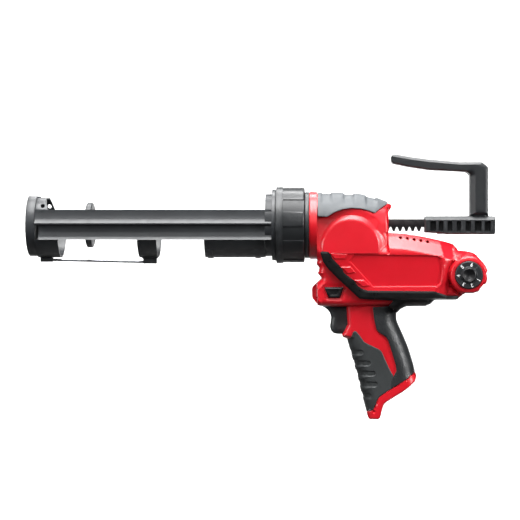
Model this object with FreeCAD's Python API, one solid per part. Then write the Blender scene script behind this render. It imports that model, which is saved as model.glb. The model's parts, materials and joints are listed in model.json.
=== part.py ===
import FreeCAD, Part
import math
import os

# Battery caulking gun for 300 ml cartridges, in millimetres.
# The origin is the middle of the pistol grip. The barrel points to -X, +Z is up,
# and the two halves of the tool meet at Y = 0. The left side is -Y.

# ---------------------------------------------------------------- driving sizes
ROD_Z = 125.0            # height of the push rod's axis above the grip's middle

# Carriage that holds the cartridge
PLATE_FRONT = -349.7
PLATE_BACK = -346.7
FLANGE_BACK = -340.6
PLATE_R = 31.0
SLOT_WIDTH = 21.0        # the nozzle drops into this slot from above
RAIL_FRONT = -340.4
LOWER_FRONT = -336.4
RAIL_BACK = -107.8
RAIL_TOP = 15.3          # heights of the rail's edges from the rod axis
RAIL_BOTTOM = -14.3
SHEET = 1.6
BAND_R = 32.3
FRONT_BAND = (-340.4, -318.0)
MIDDLE_BAND = (-240.0, -221.0)
REAR_SADDLE = (-174.0, -114.2)
BEAD_WIDTH = 5.0
BEAD_HEIGHT = 0.9
CHEEK_BACK = -328.5      # upper corner plates between the front plate and the rails
CHEEK_TOP = 29.0
CHEEK_SLOPE = 3.7
CHEEK_R = 29.6
CHEEK_HOLE = (-333.6, 19.0)
CHEEK_HOLE_R = 2.0

# Puncture wire, its hinge bracket and its clip
WIRE_R = 1.25
WIRE_PIVOT = (-333.0, ROD_Z - 34.6)
WIRE_END = (-226.0, ROD_Z - 37.0)
WIRE_POINT = 5.0
WIRE_POINT_R = 0.35
WIRE_EYE = (-1.3, 1.3)
WIRE_EYE_R = 1.9
WIRE_PIN_R = 0.8
WIRE_PIN = (-3.6, 3.6)
EAR_X = (-339.0, -327.0)
EAR_BOTTOM = ROD_Z - 36.6
EAR_Y = (1.6, 3.2)
CLIP_X = (-237.4, -222.1)
CLIP_HALF = 4.5
CLIP_BOTTOM = ROD_Z - 38.4
CLIP_LEG_Y = (1.7, 2.9)
UNDER_STRAP = ROD_Z - BAND_R + 0.6

# Barrel ring, collar and nose
TUBE_R = 31.0
TUBE_BORE = 28.8
TUBE = (-114.0, -78.0)
FLANGE = (-107.5, -103.8)
FLANGE_R = 35.4
COLLAR_RING = (-103.2, -96.7)
COLLAR_RING_R = 38.1
COLLAR_BACK = -75.2
COLLAR_R = 37.2
COLLAR_LAND = 36.3
COLLAR_BORE = 31.4
COLLAR_LANDS = 8
COLLAR_LAND_FRONT = -96.1
COLLAR_LAND_TURN = 2.0   # degrees
NECK = (-74.8, -70.6)
NECK_R = 33.0
SPIGOT_FRONT = -96.0
SPIGOT_R = 28.4
SPIGOT_BORE = 24.2

# Push rod
RACK_MODULE = 2.0
RACK_HALF = 5.0
RACK_TOP = 6.0
RACK_PITCH_LINE = -4.4
RACK_ROOT = RACK_PITCH_LINE + 1.25 * RACK_MODULE
RACK_TIP = RACK_PITCH_LINE - 0.9 * RACK_MODULE
RACK = (-290.0, 106.0)
RACK_TEETH = 50
RACK_TEETH_AHEAD = 39    # teeth in front of the pinion, with the rod at rest
RACK_ROOM = 0.3          # room around the rack in its guides
PLUNGER_R = 22.35
PLUNGER = (-292.5, -286.5)
PLUNGER_HUB_BACK = -282.0
PLUNGER_HUB_R = (14.5, 9.5)
PLUNGER_SCREW_Z = ROD_Z + 2.0
PLUNGER_SCREW_R = 1.85
PLUNGER_SCREW_END = -280.5
PLUNGER_HEAD = (-294.9, -292.5)
PLUNGER_HEAD_R = 4.2
PLUNGER_SOCKET_R = 1.8
BLOCK = (44.2, 114.6)
BLOCK_HALF = 12.0
BLOCK_TOP = 8.9
BLOCK_BOTTOM = -9.1
BLOCK_BEVEL = 3.4
POCKETS = ((49.7, 55.6), (58.2, 62.9), (67.0, 71.7), (76.1, 80.2), (84.9, 90.1), (94.1, 100.7),
           (104.0, 109.9))
POCKET_Z = (ROD_Z - 5.8, ROD_Z + 4.1)
POCKET_DEPTH = 2.6
LEVER_HALF = 9.5
HANDLE_SCREW_X = (60.0, 95.0)
HANDLE_SCREW_R = 1.5
HANDLE_HEAD_R = 3.0
HANDLE_HEAD = 2.0

# Gear train. The three shafts share one X station.
SHAFT_X = -29.0
RACK_SHIFT = 2.0         # how far behind the shaft the nearest gap of the rack stands at rest
PINION_TEETH = 14
OUTPUT_TEETH = 40
LAY_TEETH = 12
TRAIN_MODULE = 1.0
BEVEL_MODULE = 1.25
BEVEL_GEAR_TEETH = 18
BEVEL_PINION_TEETH = 12
SUN_TEETH = 12
PLANET_TEETH = 15
RING_TEETH = 42
SUN_MODULE = 0.7
PLANETS = 3
PRESSURE = math.radians(20.0)
RACK_BACKLASH = 0.1
PINION_BACKLASH = 0.7
BEVEL_BACKLASH = 0.5
BACKLASH = 0.25
FINE_BACKLASH = 0.2
OUTPUT_Z = ROD_Z + RACK_PITCH_LINE - RACK_MODULE * PINION_TEETH / 2
LAY_Z = OUTPUT_Z - TRAIN_MODULE * (OUTPUT_TEETH + LAY_TEETH) / 2
MOTOR_Z = LAY_Z
PINION_Y = (-6.0, 6.0)
GEAR_Y = (-20.0, -13.0)
GEAR_HOLES = 5
GEAR_HOLE_R = 3.0
GEAR_HOLE_PLACE = 12.0
SHAFT_Y = (-21.0, 19.0)
LEFT_PLATE_Y = (-11.5, -8.5)
RIGHT_PLATE_Y = (15.5, 18.5)
BEARING_R = 7.5
OUTPUT_SHAFT_R = 5.0
LAY_SHAFT_R = 4.0
RUNNING = 0.05           # radial clearance of a shaft in its bearing
PLATE_HALF = 13.0
PLATE_TOP = 132.0
PLATE_FOOT = LAY_Z - 11.0
GUIDE_TOP = 138.0
GUIDE_HALF = 9.0
GUIDE_CHEEK = (5.4, 7.6)
BEVEL_GEAR_DISTANCE = BEVEL_MODULE * BEVEL_PINION_TEETH / 2
BEVEL_PINION_DISTANCE = BEVEL_MODULE * BEVEL_GEAR_TEETH / 2
BEVEL_INNER = 0.68       # size of a bevel tooth's inner end, as a part of its outer end
BEVEL_HUB_R = 9.4
BEVEL_HUB_END = 13.5
BEVEL_SHAFT_R = 3.6
CARRIER = (-8.6, -5.6)
CARRIER_R = 13.0
CARRIER_ROOM_R = 15.2
PLANET_X = (-5.2, 3.4)
PLANET_PIN_R = 1.5
PLANET_ORBIT = SUN_MODULE * (SUN_TEETH + PLANET_TEETH) / 2

# Motor
CASE = (-12.5, 7.0)
CASE_R = 18.2
MOTOR_CAN = (7.2, 60.0)
MOTOR_R = 18.0
MOTOR_WALL = 1.6
MOTOR_SHAFT_R = 1.6
MOTOR_SHAFT_END = 63.6
END_CAP = (60.0, 66.0)
CAN_SLOTS = 4
CAN_SLOT_X = (14.0, 20.0)
CAN_SLOT_HALF = 3.0
ROTOR = (14.0, 50.0)
ROTOR_R = 13.6
ROTOR_SLOTS = 5
ROTOR_SLOT_HALF = 1.2
ROTOR_SLOT_FLOOR = 8.0
COMMUTATOR = (52.0, 58.0)
COMMUTATOR_R = 5.0

# Housing
WALL = 2.5
GEAR_HALF = 30.0
GEAR_R = 31.2            # the top of the gear section is round about the rod axis
PAD_R = 33.2
BODY_HALF = 28.5
SLIM_HALF = 25.0         # narrower round the lock button and the dial
GRIP_HALF = 16.8
SKIN = 1.6
BOSS_CENTRE = (-29.0, 103.0)
BOSS_R = 34.0
PAD_DROP = 2.4           # how far the shell lies under the pad's top
NOSE_BOSS_R = 33.2
NOSE_BOSS_BACK = -62.0
NOSE_ROOM = (-68.0, -55.0)
NOSE_ROOM_R = 28.5
BELT_HALF = GEAR_HALF + 1.0
SKIN_DEPTH = 2.2         # how deep the grip's rubber is let into the shells
SOCKET_HALF = 13.2
TERMINAL_X = (-22.0, 9.0)
TERMINAL_Z = (8.0, 13.6)
TERMINAL_HALF = 11.0
BLADE_X = (-16.0, -3.0)
BLADE_Y = (-6.0, 6.0)
BLADE_BOTTOM = -4.0
BLADE_WIDTH = 8.0
BLADE_HALF = 0.5
BOSS_POST_R = 4.2
BOSS_POST_HALF = 29.0
SCREW_R = 1.5
SCREW_TIP = -15.0
SCREW_SEAT = 14.0
SCREW_HEAD_R = 3.0
SCREW_HEAD = 2.2
VENTS = 5
VENT_FIRST = (20.0, 109.5)
VENT_STEP = (6.8, -0.9)
VENT_HALF = 1.5
VENT_HEIGHT = 2.0

# Trigger, switch, lock button, dial and board
GAP = 0.4                # room around a moving plastic part
TRIGGER_HALF = 7.3
TRIGGER_BEVEL = 1.2
TRIGGER_STEM = ((-34.0, -25.4), (-4.0, 4.0), (29.0, 37.0))
TRIGGER_WAY = ((-60.0, -15.0), (15.7, 44.5))
SPRING_FRONT = -33.0
SPRING_Z = 22.0
SPRING_R = 2.6
SPRING_PITCH = 2.4
SPRING_LENGTH = 17.0
SPRING_WIRE_R = 0.4
SWITCH_BOX = ((-15.2, 8.0), (-8.0, 8.0), (17.5, 40.0))
SWITCH_BUTTON = (-16.6, -15.0)
SWITCH_BUTTON_R = 2.4
SWITCH_BUTTON_Z = 33.0
BUTTON_HALF = 27.8
BUTTON_BEVEL = 0.8
BUTTON_ROOM = 1.05       # size of the button's hole, as a part of the button
BUTTON_MIDDLE = (-46.0, 58.5)
DIAL_CENTRE = (87.3, 75.8)
DIAL_R = 13.6
DIAL_FRONT = -SLIM_HALF - 1.8
DIAL_BACK = -SLIM_HALF + 3.8
DIAL_NOTCHES = 18
DIAL_NOTCH_R = 0.9
DIAL_NOTCH_END = -SLIM_HALF + 0.5
DIAL_HUB_R = 6.9
DIAL_HUB_FRONT = -SLIM_HALF - 4.2
DIAL_STEM_R = 3.0
SENSOR_HALF = 7.0
SENSOR_Y = (-13.0, -5.0)
BOARD = ((22.0, 62.5), (-14.0, 14.0), (56.0, 57.6))
CHIPS = (((24.0, 36.0), (-6.0, 6.0), (57.6, 59.6)), ((42.0, 48.0), (-8.0, 8.0), (57.6, 60.8)))
SWITCH_LEAD_R = 1.0
SWITCH_LEAD_X = 6.5
SWITCH_LEAD_Y = (-4.0, 4.0)
SWITCH_LEAD_END = 26.0
MOTOR_LEAD_R = 0.9
MOTOR_LEAD_X = 61.2
MOTOR_LEAD_Y = (-6.0, 6.0)
MOTOR_LEAD_TOP = 66.0


# ---------------------------------------------------------------- small helpers
def vec(x, y, z):
    return FreeCAD.Vector(x, y, z)


def box(x, y, z):
    """Box from its (low, high) limits on each axis."""
    return Part.makeBox(x[1] - x[0], y[1] - y[0], z[1] - z[0], vec(x[0], y[0], z[0]))


def rod_x(x, radius, y=0.0, z=ROD_Z):
    return Part.makeCylinder(radius, x[1] - x[0], vec(x[0], y, z), vec(1, 0, 0))


def rod_y(y, radius, x, z):
    return Part.makeCylinder(radius, y[1] - y[0], vec(x, y[0], z), vec(0, 1, 0))


def rod_z(z, radius, x, y):
    return Part.makeCylinder(radius, z[1] - z[0], vec(x, y, z[0]), vec(0, 0, 1))


def prism_y(outline, y):
    """Outline of (x, z) points, pushed along Y between two limits."""
    points = [vec(px, y[0], pz) for px, pz in outline]
    points.append(points[0])
    return Part.Face(Part.makePolygon(points)).extrude(vec(0, y[1] - y[0], 0))


def prism_x(outline, x):
    """Outline of (y, z) points, pushed along X between two limits."""
    points = [vec(x[0], py, pz) for py, pz in outline]
    points.append(points[0])
    return Part.Face(Part.makePolygon(points)).extrude(vec(x[1] - x[0], 0, 0))


def arc(centre, radius, start, end, steps):
    """Points on a circle in the XZ plane, angles in degrees from +X towards +Z."""
    points = []
    for step in range(steps + 1):
        angle = math.radians(start + (end - start) * step / steps)
        points.append((centre[0] + radius * math.cos(angle), centre[1] + radius * math.sin(angle)))
    return points


def inset(outline, distance):
    """Outline of (x, z) points moved inwards by a wall thickness."""
    points = [vec(px, 0, pz) for px, pz in outline]
    points.append(points[0])
    wire = Part.makePolygon(points)
    smaller = wire.makeOffset2D(-distance, 2)
    if Part.Face(smaller).Area > Part.Face(wire).Area:
        smaller = wire.makeOffset2D(distance, 2)
    return smaller


def prism_wire_y(wire, y):
    """Wire that lies in Y = 0, pushed along Y between two limits."""
    face = Part.Face(wire)
    face.translate(vec(0, y[0], 0))
    return face.extrude(vec(0, y[1] - y[0], 0))


def mirror_y(shape):
    return shape.mirror(vec(0, 0, 0), vec(0, 1, 0))


def turned(shape, angle, axis_point, axis):
    copy = shape.copy()
    copy.rotate(axis_point, axis, angle)
    return copy


def join(shapes):
    first = shapes[0]
    if len(shapes) == 1:
        return first
    return first.fuse(shapes[1:]).removeSplitter()


def cut(shape, tools):
    for tool in tools:
        shape = shape.cut(tool)
    return shape


def ring_x(x, outer, inner, z=ROD_Z):
    return rod_x(x, outer, 0.0, z).cut(rod_x((x[0] - 1, x[1] + 1), inner, 0.0, z))


# ---------------------------------------------------------------- gear teeth
def tooth_half_angle(radius, teeth, module, thin):
    """Half of a tooth's angle at a radius, on an involute of 20 degrees."""
    pitch_r = module * teeth / 2
    base_r = pitch_r * math.cos(PRESSURE)
    pressure = math.acos(min(1.0, base_r / radius))
    return (math.pi / (2 * teeth) + math.tan(PRESSURE) - PRESSURE
            - (math.tan(pressure) - pressure) - thin / (2 * pitch_r))


def gear_points(teeth, module, thin, phase=0.0, scale=1.0, addendum=0.9, dedendum=1.25):
    """Outline of a gear's section; thin is the backlash taken off each tooth."""
    pitch_r = module * teeth / 2
    radii = [pitch_r - dedendum * module, pitch_r - 0.45 * module, pitch_r,
             pitch_r + addendum / 2 * module, pitch_r + addendum * module]
    flank = [(tooth_half_angle(radius, teeth, module, thin), radius) for radius in radii]
    steps = [(-half, radius) for half, radius in flank] + flank[::-1]
    points = []
    for tooth in range(teeth):
        middle = phase + 2 * math.pi * tooth / teeth
        for half, radius in steps:
            angle = middle + half
            points.append((scale * radius * math.cos(angle), scale * radius * math.sin(angle)))
    return points


def gear_y(teeth, module, thin, x, z, y, phase=0.0):
    """Spur gear with its axis along Y; phase 0 puts a tooth on +X."""
    outline = [(x + px, z + pz) for px, pz in gear_points(teeth, module, thin, phase)]
    return prism_y(outline, y)


def gear_x(teeth, module, thin, y, z, x, phase=0.0):
    """Spur gear with its axis along X; phase 0 puts a tooth on +Y."""
    outline = [(y + py, z + pz) for py, pz in gear_points(teeth, module, thin, phase)]
    return prism_x(outline, x)


def bevel_wire(teeth, thin, apex_distance, fraction, along, phase):
    """Section of a bevel gear, scaled towards the apex at (SHAFT_X, 0, LAY_Z)."""
    points = []
    for first, second in gear_points(teeth, BEVEL_MODULE, thin, phase, fraction):
        distance = apex_distance * fraction
        if along == "x":
            points.append(vec(SHAFT_X + distance, first, LAY_Z + second))
        else:
            points.append(vec(SHAFT_X + first, distance, LAY_Z + second))
    points.append(points[0])
    return Part.makePolygon(points)


# ---------------------------------------------------------------- carriage
def nozzle_slot(x):
    half = SLOT_WIDTH / 2
    return join([rod_x(x, half), box(x, (-half, half), (ROD_Z, ROD_Z + 40))])


def front_plate():
    rim = rod_x((PLATE_FRONT, FLANGE_BACK), PLATE_R)
    hollow = rod_x((PLATE_BACK, FLANGE_BACK + 1), PLATE_R - 2.4)
    return cut(rim, [hollow, nozzle_slot((PLATE_FRONT - 1, FLANGE_BACK + 1))])


def rail_profile():
    """Pressed profile of the left rail as (outward, up) from the rod axis."""
    outer = [(27.9, RAIL_TOP), (28.1, 10.0), (28.8, 5.0), (30.2, 1.6), (31.9, 0.0),
             (31.9, -1.0), (28.8, -1.8), (28.9, -7.0), (29.8, -11.5), (31.2, RAIL_BOTTOM)]
    inner = [(29.2, RAIL_BOTTOM), (28.1, -11.0), (27.3, -7.0), (27.2, -1.0), (28.6, 1.4),
             (27.2, 5.0), (26.5, 10.0), (26.4, RAIL_TOP)]
    return outer + inner


def rail():
    """Left rail: its upper flute starts at the front plate, its lower flute a little behind."""
    outline = [(-outward, ROD_Z + up) for outward, up in rail_profile()]
    body = prism_x(outline, (RAIL_FRONT, RAIL_BACK))
    return cut(body, [box((RAIL_FRONT - 1, LOWER_FRONT), (-40, 0), (ROD_Z - 20, ROD_Z - 1.3))])


def band(x):
    """Half-round strap under the rails."""
    strap = ring_x(x, BAND_R, BAND_R - SHEET)
    return cut(strap, [box((x[0] - 1, x[1] + 1), (-40, 40), (ROD_Z + RAIL_BOTTOM, ROD_Z + 40))])


def cheek():
    """Upper corner plate between the front plate and the left rail."""
    strap = ring_x((FLANGE_BACK, CHEEK_BACK), CHEEK_R, CHEEK_R - SHEET)
    low = ROD_Z + RAIL_TOP
    high = ROD_Z + CHEEK_TOP
    front = FLANGE_BACK - 1
    outline = [(front, low), (CHEEK_BACK, low), (CHEEK_BACK - CHEEK_SLOPE, high), (front, high)]
    keep = prism_y(outline, (-40, -SLOT_WIDTH / 2 - 1))
    hole = rod_y((-40, 0), CHEEK_HOLE_R, CHEEK_HOLE[0], ROD_Z + CHEEK_HOLE[1])
    return cut(strap.common(keep), [hole])


def front_band():
    cheeks = cheek()
    return Part.makeCompound([band((FLANGE_BACK, FRONT_BAND[1])), cheeks, mirror_y(cheeks)])


def rear_saddle():
    shell = band(REAR_SADDLE)
    beads = [ring_x((x, x + BEAD_WIDTH), BAND_R + BEAD_HEIGHT, BAND_R - 0.1)
             for x in (REAR_SADDLE[0] + BEAD_WIDTH / 2, REAR_SADDLE[1] - 2 * BEAD_WIDTH)]
    below = box((REAR_SADDLE[0], REAR_SADDLE[1]), (-22, 22), (ROD_Z - 40, ROD_Z - 20))
    return join([shell] + [bead.common(below) for bead in beads])


def barrel_ring():
    """Short tube with a flange; the ends of the rails sit in notches in its front edge."""
    outer = join([rod_x(TUBE, TUBE_R), rod_x(FLANGE, FLANGE_R)])
    left = rail()
    return cut(outer, [rod_x((TUBE[0] - 1, TUBE[1] + 1), TUBE_BORE), left, mirror_y(left)])


def wire_bracket():
    """Two ears under the front strap that carry the wire's hinge pin."""
    right = box(EAR_X, EAR_Y, (EAR_BOTTOM, UNDER_STRAP)).cut(rod_x((-350, -300), BAND_R))
    pin = rod_y(WIRE_PIN, WIRE_PIN_R, WIRE_PIVOT[0], WIRE_PIVOT[1])
    return join([mirror_y(right), right, pin])


def puncture_wire():
    """Steel wire that pierces the cartridge's seal; its eye turns on the bracket's pin."""
    eye = rod_y(WIRE_EYE, WIRE_EYE_R, WIRE_PIVOT[0], WIRE_PIVOT[1])
    start = vec(WIRE_PIVOT[0] + WIRE_R, 0, WIRE_PIVOT[1])
    run = vec(WIRE_END[0], 0, WIRE_END[1]) - start
    stem = Part.makeCylinder(WIRE_R, run.Length - WIRE_POINT, start, run)
    tip_start = start + run * ((run.Length - WIRE_POINT) / run.Length)
    tip = Part.makeCone(WIRE_R, WIRE_POINT_R, WIRE_POINT, tip_start, run)
    hole = rod_y((-2, 2), WIRE_PIN_R + RUNNING, WIRE_PIVOT[0], WIRE_PIVOT[1])
    return join([eye, stem, tip]).cut(hole)


def wire_clip():
    """Downward-open spring clip under the middle strap."""
    leg = box((CLIP_X[0] + 1, CLIP_X[1] - 1), CLIP_LEG_Y, (CLIP_BOTTOM, UNDER_STRAP))
    pad = box(CLIP_X, (-CLIP_HALF, CLIP_HALF), (ROD_Z - BAND_R - 1.0, UNDER_STRAP))
    return cut(join([pad, leg, mirror_y(leg)]), [rod_x((-260, -200), BAND_R)])


# ---------------------------------------------------------------- collar and nose
def locking_collar():
    ring = rod_x(COLLAR_RING, COLLAR_RING_R)
    barrel = rod_x((COLLAR_RING[1], COLLAR_BACK), COLLAR_R)
    barrel = barrel.makeFillet(1.6, [edge for edge in barrel.Edges
                                     if abs(edge.BoundBox.XMin - COLLAR_BACK) < 0.01
                                     and abs(edge.BoundBox.XMax - COLLAR_BACK) < 0.01])
    step = 360.0 / COLLAR_LANDS
    start = vec(COLLAR_LAND_FRONT, 0, ROD_Z)
    length = COLLAR_BACK + 3.0 - COLLAR_LAND_FRONT
    sector = Part.makeCylinder(COLLAR_R + 1, length, start, vec(1, 0, 0), step / 2)
    sector = sector.cut(rod_x((COLLAR_RING[1], COLLAR_BACK), COLLAR_LAND))
    turns = [COLLAR_LAND_TURN + land * step for land in range(COLLAR_LANDS)]
    lands = [turned(sector, turn, start, vec(1, 0, 0)) for turn in turns]
    body = join([ring, cut(barrel, lands)])
    return body.cut(rod_x((COLLAR_RING[0] - 1, COLLAR_BACK + 1), COLLAR_BORE))


def rack_hole(x):
    half = RACK_HALF + RACK_ROOM
    return box(x, (-half, half), (ROD_Z + RACK_TIP - 2 * RACK_ROOM, ROD_Z + RACK_TOP + RACK_ROOM))


def nose_ring():
    """Fixed nose: neck ring, and the spigot that the barrel ring sits on."""
    spigot = rod_x((SPIGOT_FRONT, NECK[0]), SPIGOT_R)
    neck = rod_x(NECK, NECK_R)
    body = join([spigot, neck])
    bore = rod_x((SPIGOT_FRONT - 1, NECK[0] - 1.5), SPIGOT_BORE)
    return cut(body, [bore, rack_hole((NECK[0] - 3, NECK[1] + 1))])


# ---------------------------------------------------------------- push rod
def rack():
    """Toothed rod; the teeth face down to the pinion."""
    pitch = math.pi * RACK_MODULE
    half = pitch / 4 - RACK_BACKLASH / 2
    foot = half + (RACK_ROOT - RACK_PITCH_LINE) * math.tan(PRESSURE)
    crest = half + (RACK_TIP - RACK_PITCH_LINE) * math.tan(PRESSURE)
    edge = [(RACK[0], ROD_Z + RACK_TOP), (RACK[0], ROD_Z + RACK_ROOT)]
    for tooth in range(RACK_TEETH):
        x = SHAFT_X + RACK_SHIFT + (tooth + 0.5 - RACK_TEETH_AHEAD) * pitch
        edge += [(x - foot, ROD_Z + RACK_ROOT), (x - crest, ROD_Z + RACK_TIP),
                 (x + crest, ROD_Z + RACK_TIP), (x + foot, ROD_Z + RACK_ROOT)]
    edge += [(RACK[1], ROD_Z + RACK_ROOT), (RACK[1], ROD_Z + RACK_TOP)]
    bar = prism_y(edge, (-RACK_HALF, RACK_HALF))
    return cut(bar, [rod_x((RACK[0] - 1, RACK[0] + 10), PLUNGER_SCREW_R + RUNNING, 0, PLUNGER_SCREW_Z)])


def rack_bar(x):
    """The rack's section above its teeth."""
    return box(x, (-RACK_HALF, RACK_HALF), (ROD_Z + RACK_ROOT, ROD_Z + RACK_TOP))


def plunger():
    disc = rod_x(PLUNGER, PLUNGER_R)
    disc = disc.makeChamfer(0.8, [edge for edge in disc.Edges if edge.BoundBox.XLength < 0.01])
    hub = Part.makeCone(PLUNGER_HUB_R[0], PLUNGER_HUB_R[1], PLUNGER_HUB_BACK - PLUNGER[1],
                        vec(PLUNGER[1], 0, ROD_Z), vec(1, 0, 0))
    body = join([disc, hub])
    pocket = rack_bar((RACK[0], PLUNGER_HUB_BACK + 1))
    bore = rod_x((PLUNGER[0] - 1, PLUNGER_HUB_BACK + 1), PLUNGER_SCREW_R + RUNNING, 0, PLUNGER_SCREW_Z)
    return cut(body, [pocket, bore])


def plunger_screw():
    head = rod_x(PLUNGER_HEAD, PLUNGER_HEAD_R, 0, PLUNGER_SCREW_Z)
    shank = rod_x((PLUNGER[0], PLUNGER_SCREW_END), PLUNGER_SCREW_R, 0, PLUNGER_SCREW_Z)
    socket = rod_x((PLUNGER_HEAD[0] - 1, PLUNGER_HEAD[1] - 1), PLUNGER_SOCKET_R, 0, PLUNGER_SCREW_Z)
    return join([head, shank]).cut(socket)


def lever_outline(base):
    """Side of the hook: a post that stands on the block, and a hand lever that points forwards."""
    top = [(10.9, 191.8), (13.1, 195.8), (30.0, 192.8), (49.0, 190.3), (64.0, 188.7), (78.3, 187.8),
           (101.1, 187.8)]
    post = [(107.3, 183.0), (107.3, base), (89.5, base), (89.5, 174.5), (88.6, 176.9)]
    below = [(86.2, 178.2), (71.0, 179.0), (49.0, 180.1), (27.0, 183.4), (12.3, 186.7)]
    return top + post + below


def rod_handle():
    """Hooked hand grip on the rod's rear end."""
    low = ROD_Z + BLOCK_BOTTOM
    high = ROD_Z + BLOCK_TOP
    front, back = BLOCK
    outline = [(front, low), (back, low), (back, high - 4.0), (back - 2, high), (front, high)]
    block = prism_y(outline, (-BLOCK_HALF, BLOCK_HALF))
    sides = [edge for edge in block.Edges
             if edge.BoundBox.XLength > LEVER_HALF and edge.BoundBox.ZMin > high - 0.1
             and edge.BoundBox.YLength < 0.01]
    block = block.makeChamfer(BLOCK_BEVEL, sides)
    body = join([block, prism_y(lever_outline(high), (-LEVER_HALF, LEVER_HALF))])
    floor = BLOCK_HALF - POCKET_DEPTH
    for x in POCKETS:
        right = box(x, (floor, BLOCK_HALF + 1), POCKET_Z)
        body = cut(body, [mirror_y(right), right])
    channel = rack_bar((BLOCK[0] - 1, RACK[1]))
    bores = []
    for x in HANDLE_SCREW_X:
        bores.append(rod_z((low - 1, ROD_Z), HANDLE_SCREW_R + 2 * RUNNING, x, 0))
        bores.append(rod_z((low - 1, low + HANDLE_HEAD), HANDLE_HEAD_R + 2 * RUNNING, x, 0))
    return cut(body, [channel] + bores)


def handle_screws():
    low = ROD_Z + BLOCK_BOTTOM
    screws = []
    for x in HANDLE_SCREW_X:
        head = rod_z((low + 0.2, low + HANDLE_HEAD), HANDLE_HEAD_R, x, 0)
        shank = rod_z((low + HANDLE_HEAD, ROD_Z + RACK_ROOT), HANDLE_SCREW_R, x, 0)
        screws.append(join([head, shank]))
    return Part.makeCompound(screws)


# ---------------------------------------------------------------- gear train
def rack_pinion():
    # Its nearest tooth stands in the rack's gap.
    phase = math.pi / 2 - RACK_SHIFT / (RACK_MODULE * PINION_TEETH / 2)
    pinion = gear_y(PINION_TEETH, RACK_MODULE, PINION_BACKLASH, SHAFT_X, OUTPUT_Z, PINION_Y, phase)
    return pinion.cut(rod_y((PINION_Y[0] - 1, PINION_Y[1] + 1), OUTPUT_SHAFT_R, SHAFT_X, OUTPUT_Z))


def output_shaft():
    return rod_y(SHAFT_Y, OUTPUT_SHAFT_R, SHAFT_X, OUTPUT_Z)


def output_gear():
    gear = gear_y(OUTPUT_TEETH, TRAIN_MODULE, BACKLASH, SHAFT_X, OUTPUT_Z, GEAR_Y, math.pi / 2)
    through = (GEAR_Y[0] - 1, GEAR_Y[1] + 1)
    holes = [rod_y(through, OUTPUT_SHAFT_R, SHAFT_X, OUTPUT_Z)]
    for index in range(GEAR_HOLES):
        angle = 2 * math.pi * index / GEAR_HOLES
        x = SHAFT_X + GEAR_HOLE_PLACE * math.cos(angle)
        z = OUTPUT_Z + GEAR_HOLE_PLACE * math.sin(angle)
        holes.append(rod_y(through, GEAR_HOLE_R, x, z))
    return cut(gear, holes)


def layshaft():
    """Second shaft, with its pinion cut on it."""
    shaft = rod_y(SHAFT_Y, LAY_SHAFT_R, SHAFT_X, LAY_Z)
    # Between two teeth of this pinion stands a tooth of the output gear.
    phase = math.pi / 2 + math.pi / LAY_TEETH
    pinion = gear_y(LAY_TEETH, TRAIN_MODULE, BACKLASH, SHAFT_X, LAY_Z, GEAR_Y, phase)
    return join([shaft, pinion])


def bevel_teeth(teeth, apex_distance, along, phase):
    wires = []
    for part in (BEVEL_INNER, 1.0):
        wires.append(bevel_wire(teeth, BEVEL_BACKLASH, apex_distance, part, along, phase))
    return Part.makeLoft(wires, True, True)


def bevel_gear():
    """Free on the layshaft until the clutch takes hold."""
    teeth = bevel_teeth(BEVEL_GEAR_TEETH, BEVEL_GEAR_DISTANCE, "y", 0.0)
    hub = rod_y((BEVEL_GEAR_DISTANCE - 0.2, BEVEL_HUB_END), BEVEL_HUB_R, SHAFT_X, LAY_Z)
    return join([teeth, hub]).cut(rod_y((0, BEVEL_HUB_END + 1), LAY_SHAFT_R + RUNNING, SHAFT_X, LAY_Z))


def bevel_pinion():
    teeth = bevel_teeth(BEVEL_PINION_TEETH, BEVEL_PINION_DISTANCE, "x", math.pi / BEVEL_PINION_TEETH)
    shaft = rod_x((SHAFT_X + BEVEL_PINION_DISTANCE - 0.2, CARRIER[0]), BEVEL_SHAFT_R, 0, MOTOR_Z)
    return join([teeth, shaft])


def planet_angle(index):
    return 2 * math.pi * index / PLANETS + math.pi / 2


def planet_place(index):
    angle = planet_angle(index)
    return PLANET_ORBIT * math.cos(angle), MOTOR_Z + PLANET_ORBIT * math.sin(angle)


def planet_carrier():
    disc = rod_x(CARRIER, CARRIER_R, 0, MOTOR_Z)
    pins = []
    for index in range(PLANETS):
        y, z = planet_place(index)
        pins.append(rod_x((CARRIER[1] - 0.5, PLANET_X[1]), PLANET_PIN_R, y, z))
    return join([disc] + pins)


def planet_gear(index):
    y, z = planet_place(index)
    # Each planet puts a gap towards the sun's tooth and a gap towards the ring's tooth.
    gear = gear_x(PLANET_TEETH, SUN_MODULE, FINE_BACKLASH, y, z, PLANET_X, planet_angle(index))
    return gear.cut(rod_x((PLANET_X[0] - 1, PLANET_X[1] + 1), PLANET_PIN_R + RUNNING, y, z))


def sun_gear():
    teeth = gear_x(SUN_TEETH, SUN_MODULE, FINE_BACKLASH, 0, MOTOR_Z, PLANET_X, math.pi / 2)
    return teeth.cut(rod_x((PLANET_X[0] - 1, PLANET_X[1] + 1), MOTOR_SHAFT_R, 0, MOTOR_Z))


def ring_space():
    """Inner toothed outline of the gearbox case: the spaces have the shape of a gear's teeth."""
    points = gear_points(RING_TEETH, SUN_MODULE, -FINE_BACKLASH, math.pi / 2, 1.0, 1.25, 0.85)
    return [(y, MOTOR_Z + z) for y, z in points]


def gearbox_case():
    """Case with the planetary ring's teeth cut inside."""
    body = rod_x(CASE, CASE_R, 0, MOTOR_Z)
    teeth_room = prism_x(ring_space(), (PLANET_X[0] - 0.3, CASE[1] + 1))
    front_room = rod_x((CARRIER[0] - 0.5, PLANET_X[0] + 0.1), CARRIER_ROOM_R, 0, MOTOR_Z)
    bush = rod_x((CASE[0] - 1, CARRIER[0]), BEVEL_SHAFT_R + RUNNING, 0, MOTOR_Z)
    return cut(body, [teeth_room, front_room, bush])


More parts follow.
